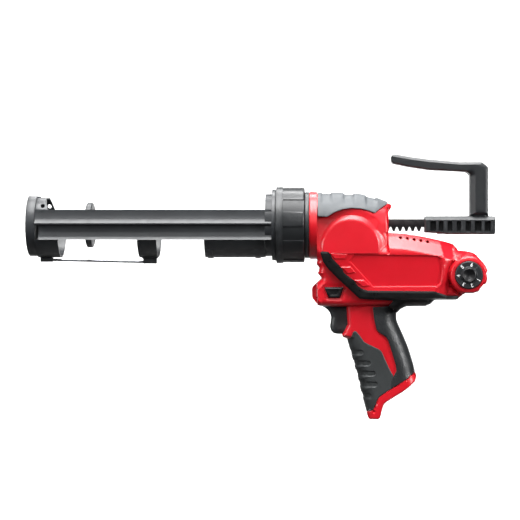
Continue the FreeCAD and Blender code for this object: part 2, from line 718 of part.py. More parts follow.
def motor_slots(count, x, half, z, first_turn):
    """Slots cut into a cylinder round the motor's axis."""
    slot = box(x, (-half, half), z)
    turns = [first_turn + 360.0 * index / count for index in range(count)]
    return [turned(slot, turn, vec(0, 0, MOTOR_Z), vec(1, 0, 0)) for turn in turns]


def motor_can():
    can = rod_x(MOTOR_CAN, MOTOR_R, 0, MOTOR_Z)
    room = rod_x((MOTOR_CAN[0] + 2.0, MOTOR_CAN[1] + 1), MOTOR_R - MOTOR_WALL, 0, MOTOR_Z)
    front_hole = rod_x((MOTOR_CAN[0] - 1, MOTOR_CAN[0] + 3), MOTOR_SHAFT_R + RUNNING, 0, MOTOR_Z)
    slot_z = (MOTOR_Z + MOTOR_R / 2, MOTOR_Z + MOTOR_R + 1)
    slots = motor_slots(CAN_SLOTS, CAN_SLOT_X, CAN_SLOT_HALF, slot_z, 45.0)
    return cut(can, [room, front_hole] + slots)


def motor_end_cap():
    cap = rod_x((END_CAP[0] + 0.05, END_CAP[1]), MOTOR_R, 0, MOTOR_Z)
    return cut(cap, [rod_x((END_CAP[0] - 1, MOTOR_SHAFT_END + 0.4), MOTOR_SHAFT_R + RUNNING, 0, MOTOR_Z)])


def motor_rotor():
    shaft = rod_x((PLANET_X[0], MOTOR_SHAFT_END), MOTOR_SHAFT_R, 0, MOTOR_Z)
    core = rod_x(ROTOR, ROTOR_R, 0, MOTOR_Z)
    slots = motor_slots(ROTOR_SLOTS, (ROTOR[0] - 1, ROTOR[1] + 1), ROTOR_SLOT_HALF,
                        (MOTOR_Z + ROTOR_SLOT_FLOOR, MOTOR_Z + ROTOR_R + 1), 0.0)
    return join([shaft, cut(core, slots), rod_x(COMMUTATOR, COMMUTATOR_R, 0, MOTOR_Z)])


def gear_frame(y):
    """Plate that carries the bearings of both shafts."""
    plate = box((SHAFT_X - PLATE_HALF, SHAFT_X + PLATE_HALF), y, (PLATE_FOOT, PLATE_TOP))
    bores = [rod_y((y[0] - 1, y[1] + 1), BEARING_R, SHAFT_X, z) for z in (OUTPUT_Z, LAY_Z)]
    return cut(plate, bores)


def bearings(z, shaft_r):
    rings = []
    for y in (LEFT_PLATE_Y, RIGHT_PLATE_Y):
        bore = rod_y((y[0] - 1, y[1] + 1), shaft_r + RUNNING, SHAFT_X, z)
        rings.append(rod_y(y, BEARING_R, SHAFT_X, z).cut(bore))
    return Part.makeCompound(rings)


def rack_guide():
    """Bridge over the rack that keeps it down on the pinion."""
    x = (SHAFT_X - GUIDE_HALF, SHAFT_X + GUIDE_HALF)
    bridge = box(x, (LEFT_PLATE_Y[0], RIGHT_PLATE_Y[1]), (PLATE_TOP, GUIDE_TOP))
    cheek = box(x, GUIDE_CHEEK, (ROD_Z - 1.0, PLATE_TOP))
    shoe = box(x, (-GUIDE_CHEEK[0], GUIDE_CHEEK[0]), (ROD_Z + RACK_TOP + RACK_ROOM, PLATE_TOP))
    return join([bridge, shoe, cheek, mirror_y(cheek)])


# ---------------------------------------------------------------- housing outlines
def gear_outline():
    """Upper body around the rod and the gears; its top lies under the pad."""
    top = [(-63.0, 157.8), (-37.0, 157.6), (-26.0, 157.0), (-15.0, 155.4), (-4.0, 152.4), (7.3, 148.2)]
    outline = [(x, z - PAD_DROP) for x, z in top]
    outline += [(11.5, 145.3), (11.5, 142.8), (8.2, 138.2), (8.2, 117.3)]
    outline += arc(BOSS_CENTRE, BOSS_R, 0, -180, 24)
    return outline


BODY_OUTLINE = [
    (-62.6, 90.2), (-60.8, 83.4), (-58.6, 72.0), (-67.3, 63.8), (-68.0, 61.1), (-67.7, 52.4), (-62.0, 45.4),
    (-58.6, 44.7), (-36.5, 44.4), (16.3, 44.4), (44.4, 44.6), (49.7, 47.0), (53.6, 51.1), (75.8, 51.1),
    (80.4, 54.2), (84.2, 57.7), (91.8, 57.7), (97.2, 59.2), (101.8, 66.1), (104.8, 69.5), (105.2, 80.5),
    (98.7, 91.3), (91.8, 97.8), (84.2, 99.4), (78.0, 99.7), (72.7, 106.3), (65.0, 108.5), (53.6, 111.2),
    (38.3, 114.3), (23.0, 116.6), (6.0, 117.3), (-29.0, 117.3), (-60.0, 100.0)]

GRIP_OUTLINE = [
    (-36.5, 50.0), (-33.2, 37.7), (-32.5, 26.3), (-36.5, 18.3), (-38.2, 16.2), (-37.2, 13.6), (-32.8, 10.9),
    (-28.5, -3.7), (-25.0, -15.8), (-21.6, -27.0), (-19.9, -35.6), (-17.3, -45.0), (-13.8, -59.7),
    (-12.1, -65.7),
    (-10.4, -67.4), (-2.2, -67.4), (-0.1, -65.7), (1.7, -58.0), (3.4, -52.8), (6.0, -50.2), (21.5, -40.7),
    (27.5, -36.4), (34.4, -30.4), (36.1, -26.1), (35.0, -20.9), (33.5, -14.0), (30.9, -5.4), (27.5, 4.9),
    (23.2, 15.2), (18.9, 24.7), (16.7, 29.9), (16.3, 33.3), (18.0, 50.0)]

TRIGGER_OUTLINE = [
    (-58.0, 44.0), (-53.3, 41.7), (-50.0, 37.7), (-48.6, 33.0), (-50.0, 24.3), (-49.2, 20.3), (-46.6, 17.3),
    (-43.2, 16.2), (-33.8, 16.2), (-33.8, 44.0)]
BUTTON_OUTLINE = [(-55.1, 63.4), (-37.0, 63.4), (-40.6, 53.5), (-50.9, 53.5)]
BELT_OUTLINE = [
    (-59.7, 98.8), (-51.7, 98.4), (-49.0, 95.0), (-38.3, 82.3), (-26.0, 69.7), (-16.8, 61.0), (5.0, 60.2),
    (55.0, 59.0), (64.3, 56.0), (75.0, 51.6), (-20.3, 52.1), (-29.1, 59.4), (-40.6, 70.1), (-52.0, 81.6),
    (-57.0, 88.5)]
SOCKET_OUTLINE = [(-24.5, 8.0), (13.0, 8.0), (38.0, -60.0), (-2.0, -74.0)]
BODY_SCREWS = ((-54.0, 148.0), (2.0, 142.0), (-58.5, 56.0), (41.0, 106.0), (70.0, 60.0), (78.0, 94.0),
               (22.0, 49.6))
FOOT_SCREW = (-10.2, -59.0)

# Where the body is slim: in front of the belt's slanted stretch, and behind the motor
BUTTON_SIDE = [(-80.0, 30.0), (-80.0, 98.0), (-61.0, 98.0), (-52.0, 81.6), (-29.1, 59.4), (-20.3, 52.1),
               (-20.3, 30.0)]
DIAL_SIDE = [(71.0, 40.0), (71.0, 108.0), (120.0, 108.0), (120.0, 40.0)]


def pad_outline():
    return ([(-62.0, 133.6), (-62.0, 157.7), (-58.5, 157.7), (-57.2, 156.4), (-50.0, 156.4), (-48.6, 157.7),
             (-37.0, 157.6), (-35.6, 156.0), (-27.2, 155.6), (-25.6, 157.0), (-15.0, 155.4), (-13.4, 153.5),
             (-5.0, 151.4), (-3.8, 152.3), (7.2, 148.4)]
            + arc(BOSS_CENTRE, BOSS_R + 5.5, 55, 122, 10))


def grip_skin_outline():
    """Rubber-covered part of the grip: front ribs and the palm swell at the back."""
    front = [(-36.5, 14.2), (-32.8, 10.9), (-28.5, -3.7), (-25.0, -15.8), (-21.6, -27.0), (-19.9, -35.6),
             (-17.3, -45.0), (-13.8, -59.7), (-13.2, -61.4), (-6.5, -60.5), (-5.2, -56.2), (0.0, -45.9),
             (10.3, -39.0), (11.0, -30.0), (13.7, -25.7), (10.3, -20.1), (5.1, -8.9), (1.7, -1.1),
             (-1.8, 1.5), (-11.3, 5.8), (-15.6, 8.3), (-19.9, 14.4), (-25.3, 19.5)]
    back = [(-6.6, 42.8), (-6.1, 31.6), (-3.5, 20.4), (-1.8, 18.2), (6.0, 13.1), (8.5, 8.3), (12.0, -2.9),
            (15.9, -15.8), (16.3, -20.9), (13.7, -25.7), (11.0, -36.0), (23.2, -31.3), (34.8, -21.4),
            (33.5, -14.0), (30.9, -5.4), (27.5, 4.9), (23.2, 15.2), (18.9, 24.7), (16.7, 29.9), (16.3, 42.8)]
    return front, back


# ---------------------------------------------------------------- housing
def round_top(radius):
    """Keeps what is inside a radius of the rod axis, above the axis."""
    return join([rod_x((-90.0, 30.0), radius), box((-90.0, 30.0), (-40, 40), (40.0, ROD_Z))])


def slim(shape, half, grow):
    """Takes the sides off round the lock button and the dial."""
    for outline, step in ((BUTTON_SIDE, grow), (DIAL_SIDE, -grow)):
        wider = [(x + step, z) for x, z in outline]
        for y in ((-40.0, -half), (half, 40.0)):
            shape = shape.cut(prism_y(wider, y))
    return shape


def outer_solid():
    """Whole outside of the two shells, without pad and rubber."""
    nose_boss = rod_x((NECK[1] + RUNNING, NOSE_BOSS_BACK), NOSE_BOSS_R)
    gear = prism_y(gear_outline(), (-GEAR_HALF, GEAR_HALF)).common(round_top(GEAR_R))
    body = slim(prism_y(BODY_OUTLINE, (-BODY_HALF, BODY_HALF)), SLIM_HALF, 0.0)
    grip = prism_y(GRIP_OUTLINE, (-GRIP_HALF, GRIP_HALF))
    return join([nose_boss, gear, body, grip])


def inner_room():
    """Space inside the shells."""
    nose_room = rod_x(NOSE_ROOM, NOSE_ROOM_R)
    gear = prism_wire_y(inset(gear_outline(), WALL), (WALL - GEAR_HALF, GEAR_HALF - WALL))
    gear = gear.common(round_top(GEAR_R - WALL))
    body = prism_wire_y(inset(BODY_OUTLINE, WALL), (WALL - BODY_HALF, BODY_HALF - WALL))
    body = slim(body, SLIM_HALF - WALL, WALL)
    throat = prism_y([(-36.0, 60.0), (-30.0, 15.0), (-24.0, 15.0), (12.0, 15.0), (13.0, 60.0)],
                     (WALL - GRIP_HALF, GRIP_HALF - WALL))
    return join([nose_room, gear, body, throat])


def screw_way(place):
    """Bore and counterbore of a housing screw, driven from the right."""
    x, z = place
    bore = rod_y((SCREW_TIP - 0.5, SCREW_SEAT + 1.0), SCREW_R, x, z)
    return [bore, rod_y((SCREW_SEAT, 40.0), SCREW_HEAD_R + 2 * RUNNING, x, z)]


def trigger_way():
    half = TRIGGER_HALF + GAP
    return box(TRIGGER_WAY[0], (-half, half), TRIGGER_WAY[1])


def button_way():
    hole = prism_y(BUTTON_OUTLINE, (-40, 40))
    hole.scale(BUTTON_ROOM, vec(BUTTON_MIDDLE[0], 0, BUTTON_MIDDLE[1]))
    return hole


def vents():
    slots = []
    for index in range(VENTS):
        x = VENT_FIRST[0] + VENT_STEP[0] * index
        low = VENT_FIRST[1] + VENT_STEP[1] * index
        left = box((x - VENT_HALF, x + VENT_HALF), (-30.0, -20.0), (low, low + VENT_HEIGHT))
        slots += [left, mirror_y(left)]
    return slots


def housing_cuts():
    """Everything that is taken out of the shells."""
    x, z = DIAL_CENTRE
    rod_way = rack_hole((-80.0, 20.0))
    block_way = box((8.0, 60.0), (-BLOCK_HALF - 1, BLOCK_HALF + 1), (ROD_Z + BLOCK_BOTTOM - 0.6, 145.0))
    socket = prism_y(SOCKET_OUTLINE, (-SOCKET_HALF, SOCKET_HALF))
    terminal_room = box(TERMINAL_X, (-TERMINAL_HALF, TERMINAL_HALF), (TERMINAL_Z[0], TERMINAL_Z[1] + 2 * GAP))
    dial = rod_y((DIAL_HUB_FRONT, DIAL_BACK + GAP), DIAL_R + GAP, x, z)
    dial_stem = rod_y((-SLIM_HALF, 0), DIAL_STEM_R + GAP, x, z)
    cuts = [rod_way, block_way, socket, terminal_room, trigger_way(), button_way(), dial, dial_stem]
    for place in BODY_SCREWS + (FOOT_SCREW,):
        cuts += screw_way(place)
    return cuts + vents()


def grip_skins():
    """Front and back rubber of the grip, let a little way into the shells."""
    core = prism_wire_y(inset(GRIP_OUTLINE, SKIN_DEPTH), (-GRIP_HALF, GRIP_HALF))
    body = prism_y(BODY_OUTLINE, (-BODY_HALF - 1, BODY_HALF + 1))
    half = GRIP_HALF + SKIN
    return [cut(prism_y(outline, (-half, half)), [body, core]) for outline in grip_skin_outline()]


def housing_shell(skins):
    """Both shells in one solid, before they are parted at Y = 0."""
    outside = cut(outer_solid(), skins)
    reach = (-BOSS_POST_HALF, BOSS_POST_HALF)
    posts = [rod_y(reach, BOSS_POST_R, x, z).common(outside) for x, z in BODY_SCREWS]
    return cut(join([outside.cut(inner_room())] + posts), housing_cuts())


def top_pad():
    round_side = rod_x((-90.0, 30.0), PAD_R)
    return prism_y(pad_outline(), (-PAD_R, PAD_R)).common(round_side).cut(outer_solid())


def belt():
    """Rubber bumper along the lower body, both sides in one solid."""
    return prism_y(BELT_OUTLINE, (-BELT_HALF, BELT_HALF)).cut(outer_solid())


def left_side(shape):
    return shape.common(box((-400, 200), (-60, 0), (-100, 260)))


def right_side(shape):
    return shape.common(box((-400, 200), (0, 60), (-100, 260)))


# ---------------------------------------------------------------- controls
def trigger():
    blade = prism_y(TRIGGER_OUTLINE, (-TRIGGER_HALF, TRIGGER_HALF))
    front_edges = [edge for edge in blade.Edges
                   if edge.BoundBox.YLength < 0.01 and edge.BoundBox.XMax < -43.0]
    blade = blade.makeChamfer(TRIGGER_BEVEL, front_edges)
    return join([blade, box(*TRIGGER_STEM)])


def trigger_spring():
    """Spring between the trigger and the switch."""
    helix = Part.makeHelix(SPRING_PITCH, SPRING_LENGTH, SPRING_R)
    section = Part.Wire(Part.makeCircle(SPRING_WIRE_R, vec(SPRING_R, 0, 0), vec(0, 1, 0)))
    coil = Part.Wire(helix).makePipeShell([section], True, True)
    coil.rotate(vec(0, 0, 0), vec(0, 1, 0), 90)
    coil.translate(vec(SPRING_FRONT, 0, SPRING_Z))
    return coil


def switch_body():
    return join([box(*SWITCH_BOX), rod_x(SWITCH_BUTTON, SWITCH_BUTTON_R, 0, SWITCH_BUTTON_Z)])


def lock_button():
    bar = prism_y(BUTTON_OUTLINE, (-BUTTON_HALF, BUTTON_HALF))
    ends = [edge for edge in bar.Edges if edge.BoundBox.YLength < 0.01]
    return bar.makeChamfer(BUTTON_BEVEL, ends)


def speed_dial():
    """Dial wheel with finger notches, and its stem."""
    x, z = DIAL_CENTRE
    disc = rod_y((DIAL_FRONT, DIAL_BACK), DIAL_R, x, z)
    notches = []
    for index in range(DIAL_NOTCHES):
        angle = 2 * math.pi * index / DIAL_NOTCHES
        notch_x = x + DIAL_R * math.cos(angle)
        notch_z = z + DIAL_R * math.sin(angle)
        notches.append(rod_y((DIAL_FRONT - 1, DIAL_NOTCH_END), DIAL_NOTCH_R, notch_x, notch_z))
    return join([cut(disc, notches), rod_y((DIAL_BACK, SENSOR_Y[0]), DIAL_STEM_R, x, z)])


def dial_cap():
    """Raised hub in the middle of the dial."""
    x, z = DIAL_CENTRE
    return rod_y((DIAL_HUB_FRONT, DIAL_FRONT), DIAL_HUB_R, x, z)


def dial_sensor():
    """Potentiometer that the dial's stem turns."""
    x, z = DIAL_CENTRE
    case = box((x - SENSOR_HALF, x + SENSOR_HALF), SENSOR_Y, (z - SENSOR_HALF, z + SENSOR_HALF))
    return cut(case, [rod_y((SENSOR_Y[0] - 1, SENSOR_Y[0] + 1), DIAL_STEM_R + RUNNING, x, z)])


def control_board():
    return join([box(*BOARD)] + [box(*chip) for chip in CHIPS])


def switch_leads():
    """Two leads from the switch up and back to the board."""
    leads = []
    for y in SWITCH_LEAD_Y:
        riser = rod_z((SWITCH_BOX[2][1], BOARD[2][0]), SWITCH_LEAD_R, SWITCH_LEAD_X, y)
        run = box((SWITCH_LEAD_X - SWITCH_LEAD_R, SWITCH_LEAD_END), (y - SWITCH_LEAD_R, y + SWITCH_LEAD_R),
                  (BOARD[2][0] - 2 * SWITCH_LEAD_R, BOARD[2][0]))
        leads.append(join([riser, run]))
    return Part.makeCompound(leads)


def motor_leads():
    """Two leads from the brush cap down to the board."""
    cap = motor_end_cap()
    lead_z = (BOARD[2][1], MOTOR_LEAD_TOP)
    return Part.makeCompound([rod_z(lead_z, MOTOR_LEAD_R, MOTOR_LEAD_X, y).cut(cap) for y in MOTOR_LEAD_Y])


def terminal_block():
    return box(TERMINAL_X, (-TERMINAL_HALF, TERMINAL_HALF), TERMINAL_Z)


def battery_terminals():
    blades = []
    for x in BLADE_X:
        for y in BLADE_Y:
            side = (y - BLADE_HALF, y + BLADE_HALF)
            blades.append(box((x, x + BLADE_WIDTH), side, (BLADE_BOTTOM, TERMINAL_Z[0])))
    return Part.makeCompound(blades)


def housing_screws():
    screws = []
    for x, z in BODY_SCREWS + (FOOT_SCREW,):
        shank = rod_y((SCREW_TIP, SCREW_SEAT), SCREW_R, x, z)
        head = rod_y((SCREW_SEAT, SCREW_SEAT + SCREW_HEAD), SCREW_HEAD_R, x, z)
        screws.append(join([shank, head]))
    return Part.makeCompound(screws)


# ---------------------------------------------------------------- write the parts
SINGLE_PARTS = (
    front_plate, front_band, rear_saddle, barrel_ring, wire_bracket, wire_clip, puncture_wire,
    locking_collar, nose_ring, rack, plunger, plunger_screw, rod_handle, handle_screws, rack_pinion,
    output_shaft, output_gear, layshaft, bevel_gear, bevel_pinion, planet_carrier, sun_gear,
    gearbox_case, motor_can, motor_end_cap, motor_rotor, rack_guide, top_pad, trigger, trigger_spring,
    switch_body, lock_button, speed_dial, dial_cap, dial_sensor, control_board, switch_leads,
    motor_leads, terminal_block, battery_terminals, housing_screws)


def save(name, shape):
    shape.exportStep("parts/" + name + ".step")


def main():
    os.makedirs("parts", exist_ok=True)
    for part in SINGLE_PARTS:
        save(part.__name__, part())
    save("rail_left", rail())
    save("rail_right", mirror_y(rail()))
    save("middle_band", band(MIDDLE_BAND))
    for index in range(PLANETS):
        save("planet_gear_" + str(index + 1), planet_gear(index))
    save("gear_frame_left", gear_frame(LEFT_PLATE_Y))
    save("gear_frame_right", gear_frame(RIGHT_PLATE_Y))
    save("output_bearings", bearings(OUTPUT_Z, OUTPUT_SHAFT_R))
    save("layshaft_bearings", bearings(LAY_Z, LAY_SHAFT_R))
    skins = grip_skins()
    shell = housing_shell(skins)
    save("housing_left", left_side(shell))
    save("housing_right", right_side(shell))
    save("belt_left", left_side(belt()))
    save("belt_right", right_side(belt()))
    covers = [cut(skin, [trigger_way()] + screw_way(FOOT_SCREW)) for skin in skins]
    save("grip_skin_left", Part.makeCompound([left_side(cover) for cover in covers]))
    save("grip_skin_right", Part.makeCompound([right_side(cover) for cover in covers]))


main()
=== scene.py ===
import json
import math

import bmesh
import bpy
import numpy as np
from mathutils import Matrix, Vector, geometry


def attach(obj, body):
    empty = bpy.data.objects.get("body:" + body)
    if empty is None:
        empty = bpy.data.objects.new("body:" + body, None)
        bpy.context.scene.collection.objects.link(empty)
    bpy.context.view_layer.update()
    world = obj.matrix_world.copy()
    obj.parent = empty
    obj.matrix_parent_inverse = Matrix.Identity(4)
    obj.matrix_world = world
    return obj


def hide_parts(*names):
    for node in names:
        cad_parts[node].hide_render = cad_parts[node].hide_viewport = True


# Battery caulking gun. Shapes are written in millimetres in the part's own frame and
# turned into metres when a mesh is made. The left side of the tool is -Y.
# A "face" function gives the half width (distance from the middle plane) at points in X and Z.

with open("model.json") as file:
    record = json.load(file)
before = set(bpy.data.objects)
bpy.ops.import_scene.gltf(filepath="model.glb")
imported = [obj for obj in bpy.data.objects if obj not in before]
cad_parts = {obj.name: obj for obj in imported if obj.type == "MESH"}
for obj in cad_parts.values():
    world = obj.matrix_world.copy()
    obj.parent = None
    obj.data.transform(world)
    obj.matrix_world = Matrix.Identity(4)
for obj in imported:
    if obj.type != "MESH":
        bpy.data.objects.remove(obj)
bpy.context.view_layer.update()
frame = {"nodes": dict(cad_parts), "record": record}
NODES = frame["nodes"]
MM = 0.001
ROD = 125.0              # height of the push rod's axis
NOTHING = -50.0          # half width that stands for no material
SIDES = (("left", True), ("right", False))


# ---- flat geometry
def as_loop(points):
    """Closed outline as an array that runs anticlockwise in X and Z."""
    p = np.array(points, float)
    q = np.roll(p, -1, axis=0)
    if (p[:, 0] * q[:, 1] - q[:, 0] * p[:, 1]).sum() < 0:
        p = p[::-1]
    return p


def rounded(points, radius, closed=True):
    """Corners cut back by up to `radius` and bent round."""
    p = [np.array(v, float) for v in points]
    out = []
    n = len(p)
    for i in range(n):
        if not closed and i in (0, n - 1):
            out.append(p[i])
            continue
        before, here, after = p[i - 1], p[i], p[(i + 1) % n]
        a, b = before - here, after - here
        la, lb = np.hypot(*a), np.hypot(*b)
        cut = min(radius, 0.45 * la, 0.45 * lb)
        a, b = here + a / la * cut, here + b / lb * cut
        out += [a, (a + 2 * here + b) / 4, b] if cut > 0.05 else [here]
    return np.array(out)


def stepped(points, step, closed=True):
    """Points no further than `step` apart along a line."""
    p = np.array(points, float)
    ends = np.roll(p, -1, axis=0) if closed else p[1:]
    out = []
    for a, b in zip(p, ends):
        n = max(1, int(math.ceil(np.hypot(*(b - a)) / step)))
        out += [a + (b - a) * k / n for k in range(n)]
    if not closed:
        out.append(p[-1])
    return np.array(out)


def distance(p, line, closed=True):
    """Distance of each point from a line of straight pieces."""
    a = np.array(line, float)
    b = np.roll(a, -1, axis=0) if closed else a[1:]
    best = np.full(len(p), 1e9)
    for s, e in zip(a, b):
        d = e - s
        t = np.clip(((p - s) @ d) / max(d @ d, 1e-12), 0, 1)
        best = np.minimum(best, np.hypot(*(p - s - t[:, None] * d).T))
    return best


def inside(p, outline):
    """Whether each point is inside a closed outline."""
    a = np.array(outline, float)
    hit = np.zeros(len(p), bool)
    for s, e in zip(a, np.roll(a, -1, axis=0)):
        if s[1] == e[1]:
            continue
        spans = (s[1] > p[:, 1]) != (e[1] > p[:, 1])
        cross = (e[0] - s[0]) * (p[:, 1] - s[1]) / (e[1] - s[1]) + s[0]
        hit ^= spans & (p[:, 0] < cross)
    return hit


def depth_in(p, outline):
    """Distance from an outline, positive inside it."""
    d = distance(p, outline)
    return np.where(inside(p, outline), d, -d)


def right_of(p, line):
    """Signed distance from an open line, positive on the right of its direction."""
    a = np.array(line, float)
    first, last = a[0] - (a[1] - a[0]) * 40, a[-1] + (a[-1] - a[-2]) * 40
    a = np.vstack([first, a, last])
    best = np.full(len(p), 1e9)
    side = np.zeros(len(p))
    for s, e in zip(a[:-1], a[1:]):
        d = e - s
        t = np.clip(((p - s) @ d) / (d @ d), 0, 1)
        off = p - s - t[:, None] * d
        r = np.hypot(*off.T)
        turn = d[0] * (p[:, 1] - s[1]) - d[1] * (p[:, 0] - s[0])
        nearer = r < best - 1e-9
        best = np.where(nearer, r, best)
        side = np.where(nearer, -np.sign(turn), side)
    return best * side


def shifted(loop, depth, closed=True):
    """Line moved to its left by `depth`: inwards for an anticlockwise loop."""
    p = np.array(loop, float)
    if closed:
        t = np.roll(p, -1, axis=0) - np.roll(p, 1, axis=0)
    else:
        t = np.gradient(p, axis=0)
    t /= np.maximum(np.hypot(*t.T), 1e-9)[:, None]
    return p + depth * np.column_stack([-t[:, 1], t[:, 0]])


def ease(t):
    """Smooth step from 0 to 1 as t goes from 0 to 1."""
    t = np.clip(t, 0, 1)
    return t * t * (3 - 2 * t)


def edge_drop(d, radius, drop):
    """How far a face falls away near its edge, as a quarter of an ellipse."""
    t = np.clip(1 - np.maximum(d, 0) / radius, 0, 1)
    return drop * (1 - np.sqrt(np.maximum(1 - t * t, 0)))


def arc(centre, radius, start, end, count):
    turns = np.radians(np.linspace(start, end, count))
    return [(centre[0] + radius * math.cos(a), centre[1] + radius * math.sin(a)) for a in turns]


def ring(centre, radius, count=72):
    return arc(centre, radius, 0, 360 - 360 / count, count)


def radius_from(p, centre):
    return np.hypot(p[:, 0] - centre[0], p[:, 1] - centre[1])


# ---- meshes
RINGS = (0.15, 0.45, 0.95, 1.7, 2.7, 4.0, 5.7, 7.8, 10.4)    # distances of rows of points from an edge
EDGE_STEP = 0.9          # longest piece of an outline or a fold
HOLE_STEP = 0.7          # longest piece of a hole's outline
STEP_ROWS = (-0.5, -0.2, 0.2, 0.5)    # rows across a narrow slope, as parts of its width
BIN = 0.5                # side of the squares that points are sorted into
CLEARANCE = 0.14         # points closer than this are thinned out
THINNEST = 0.05          # least thickness of a slab


def placed(name, data):
    """New object in the scene."""
    obj = bpy.data.objects.new(name, data)
    bpy.context.scene.collection.objects.link(obj)
    return obj


def mesh_object(name, verts, faces, material, body, angle=35.0):
    mesh = bpy.data.meshes.new(name)
    mesh.from_pydata([tuple(v) for v in verts], [], [tuple(int(i) for i in f) for f in faces])
    mesh.validate()
    mesh.shade_smooth()
    mesh.set_sharp_from_angle(angle=math.radians(angle))
    mesh.materials.append(material)
    obj = placed(name, mesh)
    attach(obj, body)
    return obj


def face_outwards(mesh, weld=0.0):
    """Normals turned outwards, after points closer than `weld` metres are joined."""
    bm = bmesh.new()
    bm.from_mesh(mesh)
    if weld:
        bmesh.ops.remove_doubles(bm, verts=bm.verts, dist=weld)
    bmesh.ops.recalc_face_normals(bm, faces=bm.faces)
    bm.to_mesh(mesh)
    bm.free()


def border_points(outline, holes, steps, lines):
    """Points and edges that the triangles of a slab must follow."""
    points, edges = [], []

    def add(loop, closed):
        start = len(points)
        points.extend(loop)
        count = len(loop)
        pieces = count if closed else count - 1
        edges.extend((start + i, start + (i + 1) % count) for i in range(pieces))

    add(stepped(outline, EDGE_STEP), True)
    for hole in holes:
        add(stepped(hole, HOLE_STEP), True)
    for line, closed in lines:
        add(stepped(line, EDGE_STEP, closed), closed)
    for line, closed, width in steps:
        dense = stepped(as_loop(line) if closed else line, EDGE_STEP, closed)
        for part in STEP_ROWS:
            add(shifted(dense, part * width, closed), closed)
    return np.array(points), edges


def inner_points(outline, holes, rings, grid):
    """Points in rows along the outline, and in a triangular grid inside the rows."""
    around = stepped(outline, EDGE_STEP)
    free = np.vstack([shifted(around, d) for d in rings])
    limits = np.repeat(np.array(rings, float), len(around))
    free = free[(distance(free, outline) > limits * 0.96) & inside(free, outline)]
    low, high = outline.min(axis=0), outline.max(axis=0)
    xs = np.arange(low[0], high[0], grid)
    zs = np.arange(low[1], high[1], grid * 0.87)
    grid_x, grid_z = np.meshgrid(xs, zs)
    grid_x = grid_x + (np.arange(len(zs)) % 2)[:, None] * grid / 2
    cells = np.column_stack([grid_x.ravel(), grid_z.ravel()])
    cells = cells[inside(cells, outline)]
    cells = cells[distance(cells, outline) > max(rings) + 0.4]
    free = np.vstack([free, cells])
    for hole in holes:
        free = free[~inside(free, hole)]
    return free


def thinned(fixed, free):
    """The free points that stand clear of the fixed ones and of each other."""
    bins = {}

    def home(q):
        return int(q[0] // BIN), int(q[1] // BIN)

    def crowded(q):
        i, j = home(q)
        near = ((a, b) for a in (i - 1, i, i + 1) for b in (j - 1, j, j + 1))
        return any(abs(other[0] - q[0]) + abs(other[1] - q[1]) < CLEARANCE
                   for cell in near for other in bins.get(cell, ()))

    for q in fixed:
        bins.setdefault(home(q), []).append(q)
    kept = []
    for q in free:
        if not crowded(q):
            kept.append(q)
            bins.setdefault(home(q), []).append(q)
    return kept


def triangulated(points, edges, outline, holes):
    """Points and triangles over an outline less its holes."""
    made = geometry.delaunay_2d_cdt([Vector(q) for q in points], edges, [], 0, 1e-4)
    flat = np.array([tuple(v) for v in made[0]])
    tris = np.array([f for f in made[2] if len(f) == 3])
    a, b, c = flat[tris[:, 0]], flat[tris[:, 1]], flat[tris[:, 2]]
    area = (b[:, 0] - a[:, 0]) * (c[:, 1] - a[:, 1]) - (b[:, 1] - a[:, 1]) * (c[:, 0] - a[:, 0])
    tris[area < 0] = tris[area < 0][:, ::-1]
    centre = (a + b + c) / 3
    good = inside(centre, outline) & (np.abs(area) > 1e-7)
    for hole in holes:
        good &= ~inside(centre, hole)
    tris = tris[good]
    used = np.unique(tris)
    index = -np.ones(len(flat), int)
    index[used] = np.arange(len(used))
    return flat[used], index[tris]


def slab(name, outline, face, room, material, body, holes=(), steps=(), lines=(), rings=RINGS, grid=1.5,
         angle=35.0, mirror=False):
    """Closed solid over an outline in X and Z, from y = -face(p) to y = -room(p).

    With `mirror` it is the same solid on the other side. `steps` are (line, closed, width) for narrow
    slopes in the faces and `lines` are (line, closed) for folds.
    """
    outline = as_loop(outline)
    holes = [as_loop(h) for h in holes]
    fixed, edges = border_points(outline, holes, steps, lines)
    points = [*fixed, *thinned(fixed, inner_points(outline, holes, rings, grid))]
    flat, tris = triangulated(points, edges, outline, holes)
    y_near = -face(flat)
    y_far = np.maximum(-room(flat), y_near + THINNEST)
    count = len(flat)
    edge_turns = {(int(t[k]), int(t[(k + 1) % 3])): True for t in tris for k in range(3)}
    walls = [(b, a, a + count, b + count) for a, b in edge_turns if (b, a) not in edge_turns]
    across = -MM if mirror else MM
    verts = [(x * MM, across * y, z * MM) for (x, z), y in zip(flat, y_near)]
    verts += [(x * MM, across * y, z * MM) for (x, z), y in zip(flat, y_far)]
    faces = [tuple(t) for t in tris] + [tuple(int(i) + count for i in t[::-1]) for t in tris] + walls
    if mirror:
        faces = [tuple(reversed(f)) for f in faces]
    return mesh_object(name, verts, faces, material, body, angle)


def turned(name, profile, centre, material, body, count=96, angle=35.0, shape=None):
    """Solid of revolution from (along, radius) points, about an axis along Y.

    `shape` may change a radius by its place along the axis and round it.
    """
    verts, faces = [], []
    rows = len(profile)
    for k in range(count):
        a = 2 * math.pi * k / count
        for along, radius in profile:
            r = radius if shape is None else shape(along, radius, a)
            u, v = r * math.cos(a), r * math.sin(a)
            verts.append(((centre[0] + u) * MM, along * MM, (centre[1] + v) * MM))
    for k in range(count):
        n = (k + 1) % count
        for i in range(rows):
            j = (i + 1) % rows
            if profile[i][1] < 1e-6 and profile[j][1] < 1e-6:
                continue
            faces.append((k * rows + i, k * rows + j, n * rows + j, n * rows + i))
    obj = mesh_object(name, verts, faces, material, body, angle)
    face_outwards(obj.data, weld=1e-6)
    obj.data.shade_smooth()
    obj.data.set_sharp_from_angle(angle=math.radians(angle))
    return obj


